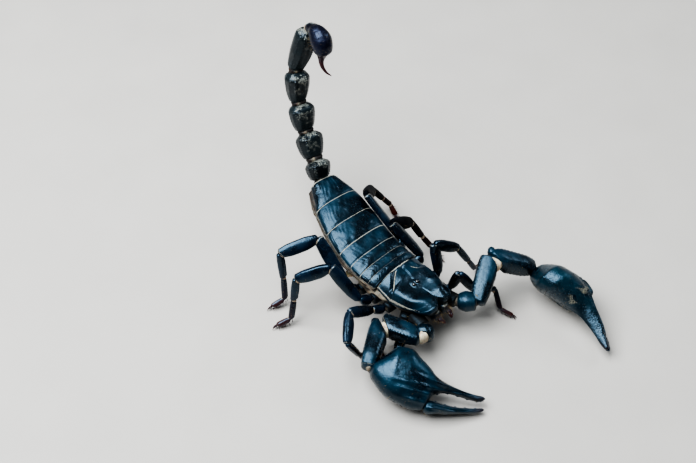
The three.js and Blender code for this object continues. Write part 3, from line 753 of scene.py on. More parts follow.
def curved_strand(graph, given):
    """One tapering hair, bent over towards its tip, that remembers its straight shape."""
    strand = graph.add("GeometryNodeMeshCone", {"fill_type": "NGON"}, {
        "Vertices": 4, "Side Segments": 4, "Radius Top": 0.12, "Radius Bottom": 1.0, "Depth": 1.0})
    spot = graph.add("GeometryNodeInputPosition")
    up = graph.add("ShaderNodeSeparateXYZ", inputs={0: spot}, output="Z")
    bend = graph.add("ShaderNodeCombineXYZ", inputs={0: up * up * 0.3})
    thin = graph.add("ShaderNodeCombineXYZ", inputs={
        0: given["Thickness"], 1: given["Thickness"], 2: given["Length"]})
    shape = graph.vectors("MULTIPLY", spot, thin)
    shape = graph.vectors("ADD", shape, graph.scale(bend, given["Length"]))
    kept = graph.add("GeometryNodeStoreNamedAttribute",
                     {"data_type": "FLOAT_VECTOR", "domain": "POINT"},
                     {"Geometry": strand, "Name": "strand", "Value": spot})
    return graph.add("GeometryNodeSetPosition", inputs={"Geometry": kept, "Position": shape})


def hair_tree():
    """Thin curved hairs that stand on the skin, each on its own small patch of a UV map."""
    tree, graph, given = new_tree("hairs", {
        "Spacing": "NodeSocketFloat", "Length": "NodeSocketFloat", "Thickness": "NodeSocketFloat",
        "Lean": "NodeSocketVector", "Seed": "NodeSocketInt"})
    points, normal = scatter(graph, given, "bristle")
    strand = curved_strand(graph, given)
    way = graph.vectors("ADD", normal, given["Lean"])
    upright = graph.add("FunctionNodeAlignRotationToVector", {"axis": "Z"}, {"Vector": way})
    angle = graph.chance(-3.14, 3.14, given["Seed"])
    spin = graph.add("FunctionNodeAxisAngleToRotation", inputs={"Axis": UP, "Angle": angle})
    turn = graph.add("FunctionNodeRotateRotation", {"rotation_space": "LOCAL"},
                     {0: upright, 1: spin})
    size = graph.chance(0.5, 1.2, given["Seed"])
    grown = graph.add("GeometryNodeInstanceOnPoints", inputs={
        "Points": points, "Instance": strand, "Rotation": turn, "Scale": size})
    done = end_tree(graph, grown, given["Finish"])
    root = graph.stored("FLOAT_VECTOR", "unwrap")
    local = graph.stored("FLOAT_VECTOR", "strand")
    patch = graph.vectors("ADD", root, graph.scale(local, HAIR_PATCH))
    mapped = graph.add("GeometryNodeStoreNamedAttribute",
                       {"data_type": "FLOAT2", "domain": "CORNER"},
                       {"Geometry": done, "Name": "OFBake", "Value": patch})
    close_tree(graph, mapped)
    return tree


def run_tree(piece, tree, **inputs):
    """The plain mesh that a geometry tree makes of a piece."""
    modifier = piece.modifiers.new(tree.name, "NODES")
    modifier.node_group = tree
    sockets = [item for item in tree.interface.items_tree if item.in_out == "INPUT"]
    identifiers = {socket.name: socket.identifier for socket in sockets}
    for name, value in inputs.items():
        modifier[identifiers[name]] = value
    graph = bpy.context.evaluated_depsgraph_get()
    made = bpy.data.meshes.new_from_object(
        piece.evaluated_get(graph), preserve_all_data_layers=True, depsgraph=graph)
    piece.modifiers.clear()
    return made


FLOOR_GAP = 0.02  # millimetres


def keep_above_floor(mesh):
    """Lifts the lowest points of a mesh so that nothing sinks into the ground."""
    points = np.empty(3 * len(mesh.vertices), np.float32)
    mesh.vertices.foreach_get("co", points)
    points[2::3] = np.maximum(points[2::3], FLOOR_GAP * MM)
    mesh.vertices.foreach_set("co", points)
    mesh.update()


def granulate(piece, radius, spacing, seed, sink=0.3):
    """Covers the grain-marked parts with granules, sunk by a part of their radius."""
    piece.data = run_tree(piece, GRANULES, Spacing=spacing * MM, Radius=radius * MM, Seed=seed,
                          Sink=sink * radius * MM, Finish=piece.data.materials[0])


def grow_hairs(piece, name, length, thickness, spacing, seed, lean=(0, 0, 0)):
    """Hairs as a piece of their own, rooted where the piece's bristle mark is."""
    mesh = run_tree(piece, HAIRS, Spacing=spacing * MM, Length=length * MM, Seed=seed,
                    Thickness=thickness * MM, Lean=tuple(lean), Finish=BRISTLE)
    keep_above_floor(mesh)
    hairs = bpy.data.objects.new(name, mesh)
    bpy.context.scene.collection.objects.link(hairs)
    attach(hairs, "root")


# ---- limbs --------------------------------------------------------------------------------
def limb(start, end, dorsal, profile, sides=40, rings=44, power=2.4, domes=(0.7, 0.7), swell=None,
         slants=()):
    """Rings of a limb piece between two joints, with the parts along and round it.

    profile holds [t, depth, width, lean] rows, and swell(t, angle) scales each point. A slant
    (end, way, cut) opens one end by trimming it back by `cut` on the side that `way` points to.
    """
    axis = unit(end - start)
    length = np.linalg.norm(end - start)
    t = near_ends(rings)
    dorsal = square_to(dorsal, axis)
    across = np.cross(dorsal, axis)
    stations, depth, width, lean = np.array([[*row, 0.0][:4] for row in profile]).T
    angle, side_part, up_part = round_section(sides, power)
    t_grid, angle_grid = t[:, None], angle[None, :]
    close = dome(t * length, domes[0]) * dome((1 - t) * length, domes[1])
    factor = close[:, None] * (swell(t_grid, angle_grid) if swell else 1.0)
    aside = side_part * smooth(t, stations, width)[:, None] / 2 * factor
    above = up_part * smooth(t, stations, depth)[:, None] / 2 * factor
    above = above + smooth(t, stations, lean)[:, None]
    centre = start + t[:, None] * length * axis
    offset = aside[..., None] * across + above[..., None] * dorsal
    shift = np.zeros_like(aside)
    for which, way, cut in slants:
        part = np.clip(0.35 + offset @ square_to(way, axis) / (width.max() / 2), 0, 1.35)
        near = ramp(t, 0.55, 0.0) if which == 0 else -ramp(t, 0.45, 1.0)
        shift += cut * part * near[:, None]
    return centre[:, None] + offset + shift[..., None] * axis, t_grid, angle_grid


def joint_skin(joint, way_in, way_out, dorsal, width, depth, reach):
    """Rings of the soft skin that runs through a joint, with a few folds."""
    s = near_ends(22)[:, None]
    first, last = joint - way_in * reach, joint + way_out * reach
    centre = (1 - s) ** 2 * first + 2 * s * (1 - s) * joint + s ** 2 * last
    tangent = unit((1 - s) * (joint - first) + s * (last - joint))
    up = square_to(dorsal, tangent)
    across = np.cross(up, tangent)
    _, side_part, up_part = round_section(28, 2.3)
    folds = 1 + 0.05 * np.cos(2 * math.pi * SKIN_FOLDS * s)
    size = dome(s, 0.25) * dome(1 - s, 0.25) * folds
    aside = side_part * width / 2 * size
    above = up_part * depth / 2 * size
    return (centre[:, None] + aside[..., None] * across[:, None] + above[..., None] * up[:, None])


def ways_of(joints):
    return unit(np.diff(joints, axis=0))


# ---- head and thorax ----------------------------------------------------------------------
def carapace_plan(t, u):
    """Forward and left of a point; t runs forward and u from right to left."""
    half = CARAPACE["half_width"] * (1 - 0.36 * np.maximum(0, t - 0.3) ** 1.5 - 0.05 * (1 - t) ** 5)
    notch = CARAPACE["notch"] * hump(u, 0, CARAPACE["notch_width"])
    front = CARAPACE["front"] - notch - 3.4 * np.abs(u) ** 5
    start = CARAPACE["rear"] + CARAPACE["yaw"] * u
    return start + t * (front - start), u * half


def carapace_edge(t):
    sink = CARAPACE["dip"] * np.sin(math.pi * np.minimum(t * 1.15, 1))
    return CARAPACE["edge"] - sink - CARAPACE["fall"] * t


def carapace_crown(t, u):
    """Height of the plain arched plate."""
    edge = carapace_edge(t)
    top = CARAPACE["edge"] + CARAPACE["arch"] * (1 - 0.3 * t ** 2.5) - CARAPACE["fall"] * t
    return edge + (top - edge) * (1 - np.abs(u) ** (2.9 + 8 * carapace_waist(t)))


def carapace_waist(t):
    """The part between the rear and the front lobes, where the plate is flat on top."""
    return ramp(t, 0.22, 0.36) * ramp(t, 0.86, 0.6)


def carapace_furrow(t, u):
    """The curved furrows that bound the two rear side lobes: depth part, and the lobe's swell."""
    middle = 0.2 * np.clip(1 - t / 0.5, 0, 1)
    away = np.abs(u - middle)
    right = 0.05 + 0.3 * np.clip((away - 0.3) / 0.7, 0, 1) ** 1.2
    left = 0.1 + 0.32 * np.clip((away - 0.2) / 0.8, 0, 1) ** 0.9
    line = np.where(u < middle, right, left)
    lobe = ramp(away, 0.3, 0.55) * ramp(t, line, line - 0.12) * ramp(t, 0.0, 0.03)
    return hump(t, line, 0.016) * ramp(away, 0.22, 0.34), lobe


def carapace_relief(t, u):
    """Everything that stands above the plain arched plate or is sunk into it."""
    furrow, lobe = carapace_furrow(t, u)
    middle = 0.2 * np.clip(1 - t / 0.5, 0, 1)
    groove = hump(u, middle, 0.028) * ramp(t, 0.02, 0.1) * ramp(t, 0.42, 0.36)
    fore = hump(u, 0.0, 0.024) * ramp(t, 0.6, 0.68) * ramp(t, 0.93, 0.86)
    delta = hump(t, 0.06, 0.06) * hump(u, middle, 0.13)
    forward, left = carapace_plan(t, u)
    ahead = forward - carapace_plan(TUBERCLE["along"], 0.0)[0]
    aside = left - TUBERCLE["left"]
    radius = np.hypot(ahead / TUBERCLE["half_length"], aside / TUBERCLE["half_width"])
    tubercle = TUBERCLE["height"] * ramp(radius, 1.5, 0.35) * (1 - 0.3 * hump(aside, 0, 0.2))
    lobes = 0.62 * (hump(u, 0.5, 0.3) + hump(u, -0.5, 0.3)) * hump(t, 0.82, 0.17)
    hollow = 0.42 * hump(u, 0.0, 0.7) * carapace_waist(t)
    hollow = hollow - 0.16 * hump(t, 0.54, 0.05) * hump(np.abs(u), 0.5, 0.11)
    rim = 0.16 * np.maximum(hump(np.abs(u), 0.972, 0.016), hump(t, 0.978, 0.014))
    rim = rim - 0.3 * np.maximum(ramp(np.abs(u), 0.978, 1.0), ramp(t, 0.985, 1.0))
    return (tubercle + lobes + rim + 0.55 * lobe - 0.3 * furrow - 0.3 * groove - 0.2 * fore
            - 0.3 * delta - hollow)


def carapace_height(t, u):
    return carapace_crown(t, u) + carapace_relief(t, u)


def add_carapace():
    """The head plate: a slab with a pale edge, granules round the eyes and painted shade over its
    middle.
    """
    t, u = np.meshgrid(near_ends(180), 2 * near_ends(180) - 1, indexing="ij")
    forward, left = carapace_plan(t, u)
    spots = np.stack([forward, left, carapace_height(t, u)], -1)
    spots[..., 2] += 0.035 * mottle(spots, 1.6, 3)
    skirt = carapace_edge(t) - CARAPACE["skirt"]
    under = np.stack([forward - 0.15 * (t - 0.5), left * 0.97, skirt], -1)
    edge = np.maximum(hump(np.abs(u), 0.975, 0.012), 0.35 * hump(t, 0.98, 0.01))
    edge = edge * ramp(t, 1.02, 0.8)
    rear = (0.55 + 0.4 * hump(u, 0.0, 0.6)) * hump(t, 0.01, 0.012)
    lines = 0.75 * carapace_furrow(t, u)[0] * ramp(np.abs(u), 1.0, 0.6)
    round_eyes = hump(np.hypot((t - 0.5) / 0.12, (u + 0.04) / 0.26), 1.1, 0.35)
    # Painted shade: the dark mark darkens the flat middle of the plate, most on its right side.
    dark = (0.9 * hump(u, -0.3, 0.5) + 0.35 * hump(u, 0.6, 0.3)) * carapace_waist(t)
    sculpture = Sculpture()
    sculpture.add_slab(place(spots), place(under), dark=dark,
                       pale=np.maximum(np.maximum(edge, rear), lines),
                       grain=np.maximum(0.5 * ramp(np.abs(u), 0.7, 0.95), 0.9 * round_eyes))
    carapace = sculpture.piece("carapace_shell", SHELL)
    granulate(carapace, radius=0.1, spacing=0.26, seed=1)
    settle(carapace, "carapace")


def ball(centre, radius, flatness=1.0, sides=24):
    """Rings of a ball about an upright axis."""
    lift = np.cos(np.linspace(0.02, math.pi - 0.02, sides // 2 + 3))[:, None]
    angle = np.arange(sides) * 2 * math.pi / sides
    flat = np.sqrt(1 - lift ** 2)
    parts = np.broadcast_arrays(flat * np.cos(angle), flat * np.sin(angle), lift * flatness)
    return centre + radius * np.stack(parts, -1)


SIDE_EYES = ((0.86, 0.2), (0.9, 0.22), (0.94, 0.2))  # t on the carapace, and radius
SIDE_EYES_OUT = 0.93


def add_eyes():
    """Two median eyes on the tubercle, and three small ones at each front corner."""
    along = TUBERCLE["along"]
    for side, sign in SIDES.items():
        left = TUBERCLE["left"] + sign * EYE["apart"]
        u = left / carapace_plan(along, 1.0)[1]
        spot = [carapace_plan(along, 0.0)[0], left, carapace_height(along, u) + 0.06]
        sculpture = Sculpture()
        sculpture.add(ball(place(spot), EYE["radius"], 0.8))
        for t, size in SIDE_EYES:
            u = sign * SIDE_EYES_OUT
            spot = [*carapace_plan(t, u), carapace_height(t, u) + 0.05]
            sculpture.add(ball(place(spot), size, sides=14))
        settle(sculpture.piece(f"eyes_{side}", EYES), f"eye_{side}")


def add_chelicera(side, sign):
    """One chelicera: a swollen hand, a fixed and a movable finger, with golden bristles."""
    joints = place([mirrored(spot, sign) for spot in CHELICERA_JOINTS])
    ways = ways_of(joints)
    sculpture = Sculpture()
    profile = [[0, 2.5, 2.4], [0.7, 3.0, 2.9], [1, 2.4, 2.5]]
    hand, t, angle = limb(joints[0], joints[1] + 0.9 * ways[0], UP, profile, domes=(0.6, 1.4))
    sculpture.add(hand, warm=0.25 * ramp(t, 0.6, 1.0), bristle=ramp(t, 0.62, 0.85),
                  pale=0.95 * hump(t, 0.74, 0.1) * keel(angle, UPPER_SIDE, 36))
    outer = turned([1.2, sign * 0.45, -0.1])
    for offset, size in ((outer, 1.25), (-outer * [0.35, 0.4, 1.0], 1.05)):
        slim = 0.75 * size
        start, knuckle = joints[1] + 0.35 * offset, joints[2] + 0.8 * offset * [1, 0.3, 1]
        finger = limb(start, knuckle, UP, [[0, size, size], [1, slim, slim]], sides=24, rings=20)
        sculpture.add(finger[0], warm=0.6, bristle=0.6)
        start, end = knuckle - 0.2 * ways[1], joints[3] + 0.3 * offset * [1, 0.2, 1]
        tip = limb(start, end, UP, [[0, slim, slim], [1, 0.25, 0.25]], sides=20, rings=20)
        sculpture.add(tip[0], warm=0.9)
    chelicera = sculpture.piece(f"chelicera_{side}_shell", SHELL)
    grow_hairs(chelicera, f"chelicera_{side}_bristles", length=1.0, thickness=0.03, spacing=0.38,
               seed=31 + sign, lean=heading([0.9, 0, -0.5]))
    settle(chelicera, f"chelicera_{side}")


def add_thorax():
    """The soft body between the carapace and the leg bases."""
    profile = [[0, 3.0, 7.0], [0.25, 3.8, 11.4], [0.5, 4.2, 13.6], [0.75, 4.7, 15.3],
               [1, 4.4, 14.4]]
    core = limb(place([15.2, 0, 8.9]), place([-6.0, 0.2, 9.5]), UP, profile, sides=96, rings=80,
                power=2.6, domes=(2.0, 2.0))[0]
    core = crumple(core, 0.12, 1.4, 5)
    patches = ramp(mottle(core, 1.9, 6), -0.5, 0.6)
    sculpture = Sculpture()
    sculpture.add(core, pale=0.04 + 0.6 * patches * ramp(core[..., 2], 8.2, 9.6))
    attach(sculpture.piece("thorax_skin", MEMBRANE), "root")


def add_sternum():
    """The small plate between the leg bases."""
    profile = [[0, 2.2, 3.0], [0.7, 2.4, 3.2], [1, 1.6, 1.2]]
    plate, _, angle = limb(place([-3.2, 0, 7.6]), place([8.0, 0, 7.6]), UP, profile, sides=32,
                           rings=40, power=3)
    sculpture = Sculpture()
    sculpture.add(plate, pale=0.5 * keel(angle, UNDERSIDE, 14))
    settle(sculpture.piece("sternum_plate", BELLY), "sternum")


COXA_ROOTS = [[8.6, 1.5, 7.6], [5.6, 1.6, 7.7], [2.0, 1.7, 7.8], [-2.0, 1.8, 7.9]]
COXA_PROFILE = [[0, 2.4, 2.6], [0.5, 2.9, 3.2], [0.85, 2.9, 2.9], [1, 2.6, 2.5]]


def add_coxae(side, sign):
    """Four leg coxae on one side, from the sternum out to the legs."""
    sculpture = Sculpture()
    for number, root in enumerate(COXA_ROOTS, 1):
        start = place(mirrored(root, sign))
        end = place(LEGS[f"leg_{number}_{side}"][0])
        lobe, t, angle = limb(start, end + 0.1 * unit(end - start), UP, COXA_PROFILE, rings=36,
                              power=2.6, domes=(1.0, 0.5))
        sculpture.add(lobe, pale=0.35 * ramp(t, 0.93, 0.99),
                      grain=0.35 * ramp(t, 0.5, 0.8) * keel(angle, UPPER_SIDE, 50))
    coxae = sculpture.piece(f"coxae_{side}_lobes", BELLY)
    granulate(coxae, radius=0.08, spacing=0.3, seed=40 + sign)
    settle(coxae, f"coxae_{side}")


PECTINE = {"root": [-5.0, 0.9, 8.1], "swing": 0.62, "length": 10.2, "teeth": 13,
           "first_tooth": 0.7, "pitch": 0.72}


def add_pectine(side, sign):
    """One comb: a jointed shaft with a row of rounded teeth."""
    root = np.array(mirrored(PECTINE["root"], sign))
    swing = PECTINE["swing"]
    along = np.array([-math.sin(swing), sign * math.cos(swing), 0.0])
    rearward = np.array([-math.cos(swing), -sign * math.sin(swing), 0.0])
    end = root + PECTINE["length"] * along
    sculpture = Sculpture()
    shaft = limb(place(root), place(end), UP, [[0, 0.8, 1.5], [1, 0.6, 0.9]], sides=20, rings=50,
                 swell=lambda t, angle: 1 + 0.08 * np.cos(2 * math.pi * 9 * t))
    sculpture.add(shaft[0])
    for tooth in range(PECTINE["teeth"]):
        spot = root + along * (PECTINE["first_tooth"] + PECTINE["pitch"] * tooth)
        blade = limb(place(spot + 0.3 * rearward), place(spot + 1.5 * rearward), UP,
                     [[0, 0.45, 0.4], [0.7, 0.55, 0.62], [1, 0.4, 0.5]], sides=12, rings=12,
                     domes=(0.2, 0.3))
        sculpture.add(blade[0])
    settle(sculpture.piece(f"pectine_{side}_comb", COMB), f"pectine_{side}")


# ---- trunk --------------------------------------------------------------------------------
def trunk_frame(k):
    """Everything about the trunk's section at station number k, which may lie between two."""
    k = np.asarray(k, float)
    steps = np.arange(len(TRUNK_STATIONS))
    forward, left, corner, half, arch, depth, turn = (
        smooth(k, steps, column) for column in np.array(TRUNK_STATIONS).T)
    turn = np.radians(turn)
    centre = place(np.stack([forward, left, corner - SHOULDER], -1))
    across = turned(np.stack([-np.sin(turn), np.cos(turn), np.zeros_like(turn)], -1))
    return centre, across, half + PLEURA, arch + SHOULDER, depth - SHOULDER


def trunk_points(k, angle, rise=0.0, widen=0.0):
    """Points of the trunk's outline at stations k and section angles, lifted by `rise`."""
    centre, across, half, above, below = (part[..., None] for part in trunk_frame(k))
    across_part = np.sign(np.cos(angle)) * np.abs(np.cos(angle)) ** (2 / TRUNK_POWER)
    up_part = np.sign(np.sin(angle)) * np.abs(np.sin(angle)) ** (2 / TRUNK_POWER)
    aside = across_part * (half + widen)
    up = up_part * np.where(up_part > 0, above + rise, below + rise)
    points = np.moveaxis(centre, -1, -2) + np.moveaxis(across, -1, -2) * aside[..., None]
    points[..., 2] += up
    return points


def add_flank():
    """The soft skin under the trunk's plates, folded along both flanks."""
    k = np.linspace(0.02, 7.0, 170)[:, None]
    around = (np.arange(112) + 0.5)[None, :] * 2 * math.pi / 112
    side = np.abs(np.cos(around)) ** 3
    pleats = 0.035 * np.cos(2 * math.pi * 4.0 * k) * side
    folds = -0.22 * keel_pair(around, 2, 5) + 0.1 * keel_pair(around, 14, 7)
    bulge = 0.4 * ramp(k, 5.9, 6.5) * ramp(-np.cos(around), 0.2, 0.8)
    rings = trunk_points(k[:, 0], around, rise=-0.55, widen=pleats + folds - 0.12 + bulge)
    rings = crumple(rings, 0.07 * side, 0.9, 8)
    middle = rings.mean(1, keepdims=True)
    close = dome(k, 0.25) * dome(7.02 - k, 0.12)
    rings = middle + (rings - middle) * close[..., None]
    lines = keel_pair(around, 10, 3.0) + keel_pair(around, -8, 2.5)
    patches = ramp(mottle(rings, 1.8, 9), -0.3, 0.9)
    ahead, behind = ramp(k, 4.6, 1.6), ramp(k, 5.6, 6.2)
    pale = 0.03 + (0.35 + 0.3 * ahead + 0.4 * behind) * lines + 0.42 * patches * side * ahead
    pale = np.clip(pale, 0, 1) * ramp(np.sin(around), -0.75, -0.4)
    sculpture = Sculpture()
    sculpture.add(rings, pale=pale, warm=0.1 * ahead * patches)
    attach(sculpture.piece("flank_skin", MEMBRANE), "root")


def tergite_rise(number, s, u):
    """How far a back plate stands above the trunk's outline, with its crease and wrinkles."""
    rise = 0.05 + 0.42 * s + 0.26 * np.sin(math.pi * s) ** 0.8 - 0.16 * ramp(s, 0.94, 1.0)
    crease = 0.1 * hump(s, 0.13, 0.035) * (1 if number > 2 else 0.4)
    waves = np.cos(2 * math.pi * (9 * u + 0.5 * np.sin(5 * s + number)))
    waves = waves * ramp(s, 0.12, 0.35) * ramp(s, 0.94, 0.75)
    uneven = 1 + mottle(np.stack(np.broadcast_arrays(9 * s, 9 * u, 0.0), -1), 2.0, number)
    rise = rise - crease + 0.016 * waves * uneven
    return rise + last_plate_keels(s, u) if number == LAST_PLATE else rise


def add_tergite(number):
    """One back plate, arched lengthwise, whose pale rear rim overlaps the next plate."""
    last = number == LAST_PLATE
    s = near_ends(46 if number < 6 else 70)[:, None]
    u = 2 * near_ends(140)[None, :] - 1
    overlap = 0.0 if last else 0.13 if number < 3 else 0.07
    k = number - 1 - 0.02 + s * (1.02 + overlap)
    corner = ramp(s, 0.1, 0.0) + 1.1 * ramp(s, 0.86, 1.0)
    angle = math.pi / 2 - u * (math.pi / 2 - math.radians(14) - math.radians(7) * corner)
    rise = tergite_rise(number, s, u)
    inset = 0.55 * last * ramp(s, 0, 0.5) * ramp(u, -0.2, -0.8)
    outer = trunk_points(k[:, 0], angle, rise=rise, widen=-0.05 - inset)
    outer[..., 2] += 0.03 * mottle(outer, 1.3, 10 + number)
    inner = trunk_points(k[:, 0], angle, rise=rise - 0.34, widen=-0.4)
    if number > 4:
        rim = 0.9 * hump(s, 0.98, 0.016)
    else:
        rim = hump(s, 0.965, 0.026)
    pale = np.maximum(rim, 0.85 * hump(np.abs(u), 0.982, 0.012))
    grain = 0.25 * ramp(np.abs(u), 0.6, 0.95) + 0.3 * ramp(s, 0.55, 0.9) * ramp(np.abs(u), 0.2, 0.7)
    if last:
        pale = np.maximum(pale, 0.9 * hump(s, 0.965, 0.02))
        grain = grain + 0.4 * ramp(s, 0.4, 0.8)
    sculpture = Sculpture()
    # Painted shade: the dark mark darkens each plate's front, under the plate before it, and its
    # left side.
    sculpture.add_slab(outer, inner, pale=pale, grain=grain * ramp(s, 0.97, 0.93),
                       dark=0.5 * ramp(s, 0.45, 0.0) + 0.3 * ramp(u, 0.3, 1.0))
    tergite = sculpture.piece(f"tergite_{number}", SHELL)
    granulate(tergite, radius=0.06, spacing=0.3, seed=50 + number)
    settle(tergite, f"mesosoma_{number}")


def last_plate_keels(s, u):
    """Two pairs of short keels on the last back plate."""
    total = 0
    for at in (0.26, 0.6):
        ridge = hump(np.abs(u), at, 0.035) * ramp(s, 0.45, 0.65) * ramp(s, 0.96, 0.85)
        total = total + 0.14 * ridge * beads(s, 24)
    return total


def add_sternite(number):
    """One belly plate with a pair of slit-like breathing holes."""
    s = near_ends(34)[:, None]
    u = np.linspace(-1, 1, 90)[None, :]
    k = number - 1 + 0.02 + s
    angle = 1.5 * math.pi + u * (math.pi / 2 - math.radians(24))
    slit = hump(s, 0.45, 0.05) * hump(np.abs(u), 0.62, 0.07)
    rise = 0.2 * s + 0.12 * np.sin(math.pi * s) - (0 if number == LAST_PLATE else 0.22 * slit)
    outer = trunk_points(k[:, 0], angle, rise=0.12 + rise, widen=-0.1)
    inner = trunk_points(k[:, 0], angle, rise=rise - 0.2, widen=-0.4)
    sculpture = Sculpture()
    sculpture.add_slab(outer, inner, pale=np.maximum(0.8 * ramp(s, 0.95, 0.99), 0.5 * slit))
    settle(sculpture.piece(f"sternite_{number}", BELLY), f"mesosoma_{number}")


# ---- tail ---------------------------------------------------------------------------------
# How far along a segment, then its depth and width there and how far its middle is shifted down,
# each as a share of the segment's own size.
TAIL_PROFILE = [
    [0, 0.58, 0.64, 0.07], [0.14, 0.72, 0.78, 0.05], [0.36, 0.92, 0.95, 0.01],
    [0.6, 1.06, 1.04, -0.06], [0.78, 1.1, 1.06, -0.1], [0.9, 1.06, 1.03, -0.12],
    [1, 0.98, 0.94, -0.11],
]
LAST_TAIL_PROFILE = [
    [0, 0.6, 0.7, 0.05], [0.15, 0.8, 0.86, 0.03], [0.5, 1.02, 1.02, -0.03], [0.78, 1.0, 1.0, -0.03],
    [1, 0.72, 0.84, 0.0],
]
# Keels in degrees from the middle of the upper side, with how high each one stands.
TAIL_KEELS = [(30, 0.075), (66, 0.055), (98, 0.035), (136, 0.055), (162, 0.04)]
LAST_TAIL_KEELS = [(30, 0.075), (66, 0.055), (98, 0.02), (136, 0.055), (162, 0.04)]
SPINY_KEEL = 30


def tail_swell(number):
    """Beaded keels, a trough along the upper side, and spines at its far end."""
    def swell(t, angle):
        total = 1 - 0.07 * keel(angle, UPPER_SIDE, 17) * ramp(t, 0.05, 0.3)
        for away, height in LAST_TAIL_KEELS if number == 5 else TAIL_KEELS:
            spiny = 1.5 * ramp(t, 0.72, 0.93) if away == SPINY_KEEL and number < 5 else 0
            row = keel_pair(angle, UPPER_SIDE + away, 5.5) * beads(t, 9 + 2 * number)
            total = total + height * (1 + spiny) * row * ramp(t, 0.03, 0.15)
        return total
    return swell


def add_tail_segment(number, near, far, way, upper):
    """One tail segment, widest towards its far end, with pale specks and a few hairs."""
    last = number == len(TAIL_SIZES)
    width, depth = TAIL_SIZES[number - 1]
    table = LAST_TAIL_PROFILE if last else TAIL_PROFILE
    profile = [[t, deep * depth, wide * width, -lean * depth] for t, deep, wide, lean in table]
    start = near + way * (0.6 if number == 1 else 0.25)
    rings, t, angle = limb(start, far + way * (1.0 if last else 0.3), upper, profile, sides=120,
                           rings=90, power=2.2, domes=(1.2, 2.1), swell=tail_swell(number))
    cloud = ramp(mottle(rings, 0.9, 59 + number), -0.9, 0.9)
    pale = ramp(t, 0.62, 0.97) * (0.12 + 0.4 * cloud) + 0.42 * cloud * ramp(t, 0.1, 0.5)
    pale = keel(angle, UPPER_SIDE, 62) * pale
    if last:
        pale = np.maximum(0.7 * pale, 0.65 * ramp(t, 0.84, 0.95) * ramp(cloud, 0.0, 0.4))
    rows = sum(keel_pair(angle, UPPER_SIDE + away, 7) for away, _ in TAIL_KEELS)
    sculpture = Sculpture()
    sculpture.add(rings, pale=pale, bristle=(0.3 if last else 0.1) * ramp(t, 0.1, 0.3),
                  grain=(0.22 + 0.8 * rows) * ramp(t, 0.03, 0.1) * ramp(t, 1.0, 0.95))
    segment = sculpture.piece(f"tail_segment_{number}", TAIL_SHELL)
    grow_hairs(segment, f"tail_hairs_{number}", length=0.6, thickness=0.016, spacing=0.8,
               seed=69 + number, lean=0.4 * way)
    granulate(segment, radius=0.09, spacing=0.25, seed=79 + number)
    settle(segment, f"metasoma_{number}")


def add_tail():
    """Five tail segments with the soft skin in their joints."""
    joints = place(TAIL_JOINTS)
    ways = ways_of(joints)
    side = heading(TAIL_ACROSS)
    before = heading([-0.95, 0.26, 0.1])
    skins = Sculpture()
    for i, (width, depth) in enumerate(TAIL_SIZES):
        upper = -np.cross(ways[i], side)
        add_tail_segment(i + 1, joints[i], joints[i + 1], ways[i], upper)
        rings = joint_skin(joints[i], before, ways[i], upper, 0.66 * width, 0.6 * depth, 1.7)
        around = (np.arange(rings.shape[1]) + 0.5) * 2 * math.pi / rings.shape[1]
        # Painted highlight: a pale spot on the upper side of each tail joint skin.
        pale = (0.7 if i == 0 else 0.4) * keel(around, UPPER_SIDE - 22, 10)
        skins.add(rings, pale=pale[None, :])
        before = ways[i]
    root, after = place([row[:3] for row in TELSON_LINE[:2]])
    rings = joint_skin(root, ways[-1], unit(after - root), side, 2.6, 2.6, 1.2)
    skins.add(rings, pale=0.35)
    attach(skins.piece("tail_joint_skins", MEMBRANE), "root")


def add_telson():
    """The venom bulb and its hooked sting, as one smooth loft."""
    line = np.array(TELSON_LINE)
    steps = np.arange(len(line))
    tip = steps[-1]
    k = np.linspace(0, tip, 150)
    spots = [smooth(k, steps, line[:, column]) for column in range(3)]
    centre = place(np.stack(spots, -1))
    radius = smooth(k, steps, line[:, 3])
    tangent = unit(np.gradient(centre, axis=0))
    side = square_to(heading(TAIL_ACROSS), tangent)
    dorsal = np.cross(tangent, side)
    angle = (np.arange(72) + 0.5) * 2 * math.pi / 72
    neck = np.where(k < 1, 0.75 + 0.25 * k, 1)
    size = radius * neck * dome(k + 0.02, 0.3) * dome(tip + 0.02 - k, 0.5)
    bulb = (ramp(k, 0.8, 2.5) * ramp(k, 6.3, 5.0))[:, None]
    rows = sum(keel(angle, at, 9) for at in (60, 90, 120))
    swollen = size[:, None] * (1 + 0.035 * bulb * rows * beads(k, 2.6)[:, None])
    aside, above = np.cos(angle) * swollen, np.sin(angle) * swollen
    rings = centre[:, None] + aside[..., None] * side[:, None] + above[..., None] * dorsal[:, None]
    k = k[:, None]
    cloud = ramp(mottle(rings, 0.8, 90), -0.6, 0.9)
    pale = ramp(k, 2.9, 1.2) * (0.2 + 0.6 * cloud) * keel(angle, UPPER_SIDE, 70)
    sculpture = Sculpture()
    sculpture.add(rings, warm=0.9 * ramp(k, 5.0, 7.4), pale=pale,
                  grain=0.5 * bulb * (0.3 + 0.7 * rows),
                  bristle=0.8 * ramp(k, 0.5, 1.5) * ramp(k, 7, 6))
    telson = sculpture.piece("telson_bulb", TELSON_SHELL)
    grow_hairs(telson, "telson_hairs", length=0.7, thickness=0.016, spacing=0.8, seed=91,
               lean=(0, 0, -0.2))
    granulate(telson, radius=0.07, spacing=0.4, seed=92)
    settle(telson, "telson")


# ---- legs ---------------------------------------------------------------------------------
def leg_swell(t, angle):
    """Two low keels along the back of a leg piece and two along its underside."""
    rows = keel_pair(angle, 58, 9) + keel_pair(angle, 238, 9)
    return 1 + 0.045 * rows * (0.8 + 0.2 * beads(t, 14)) * ramp(t, 0.05, 0.2)


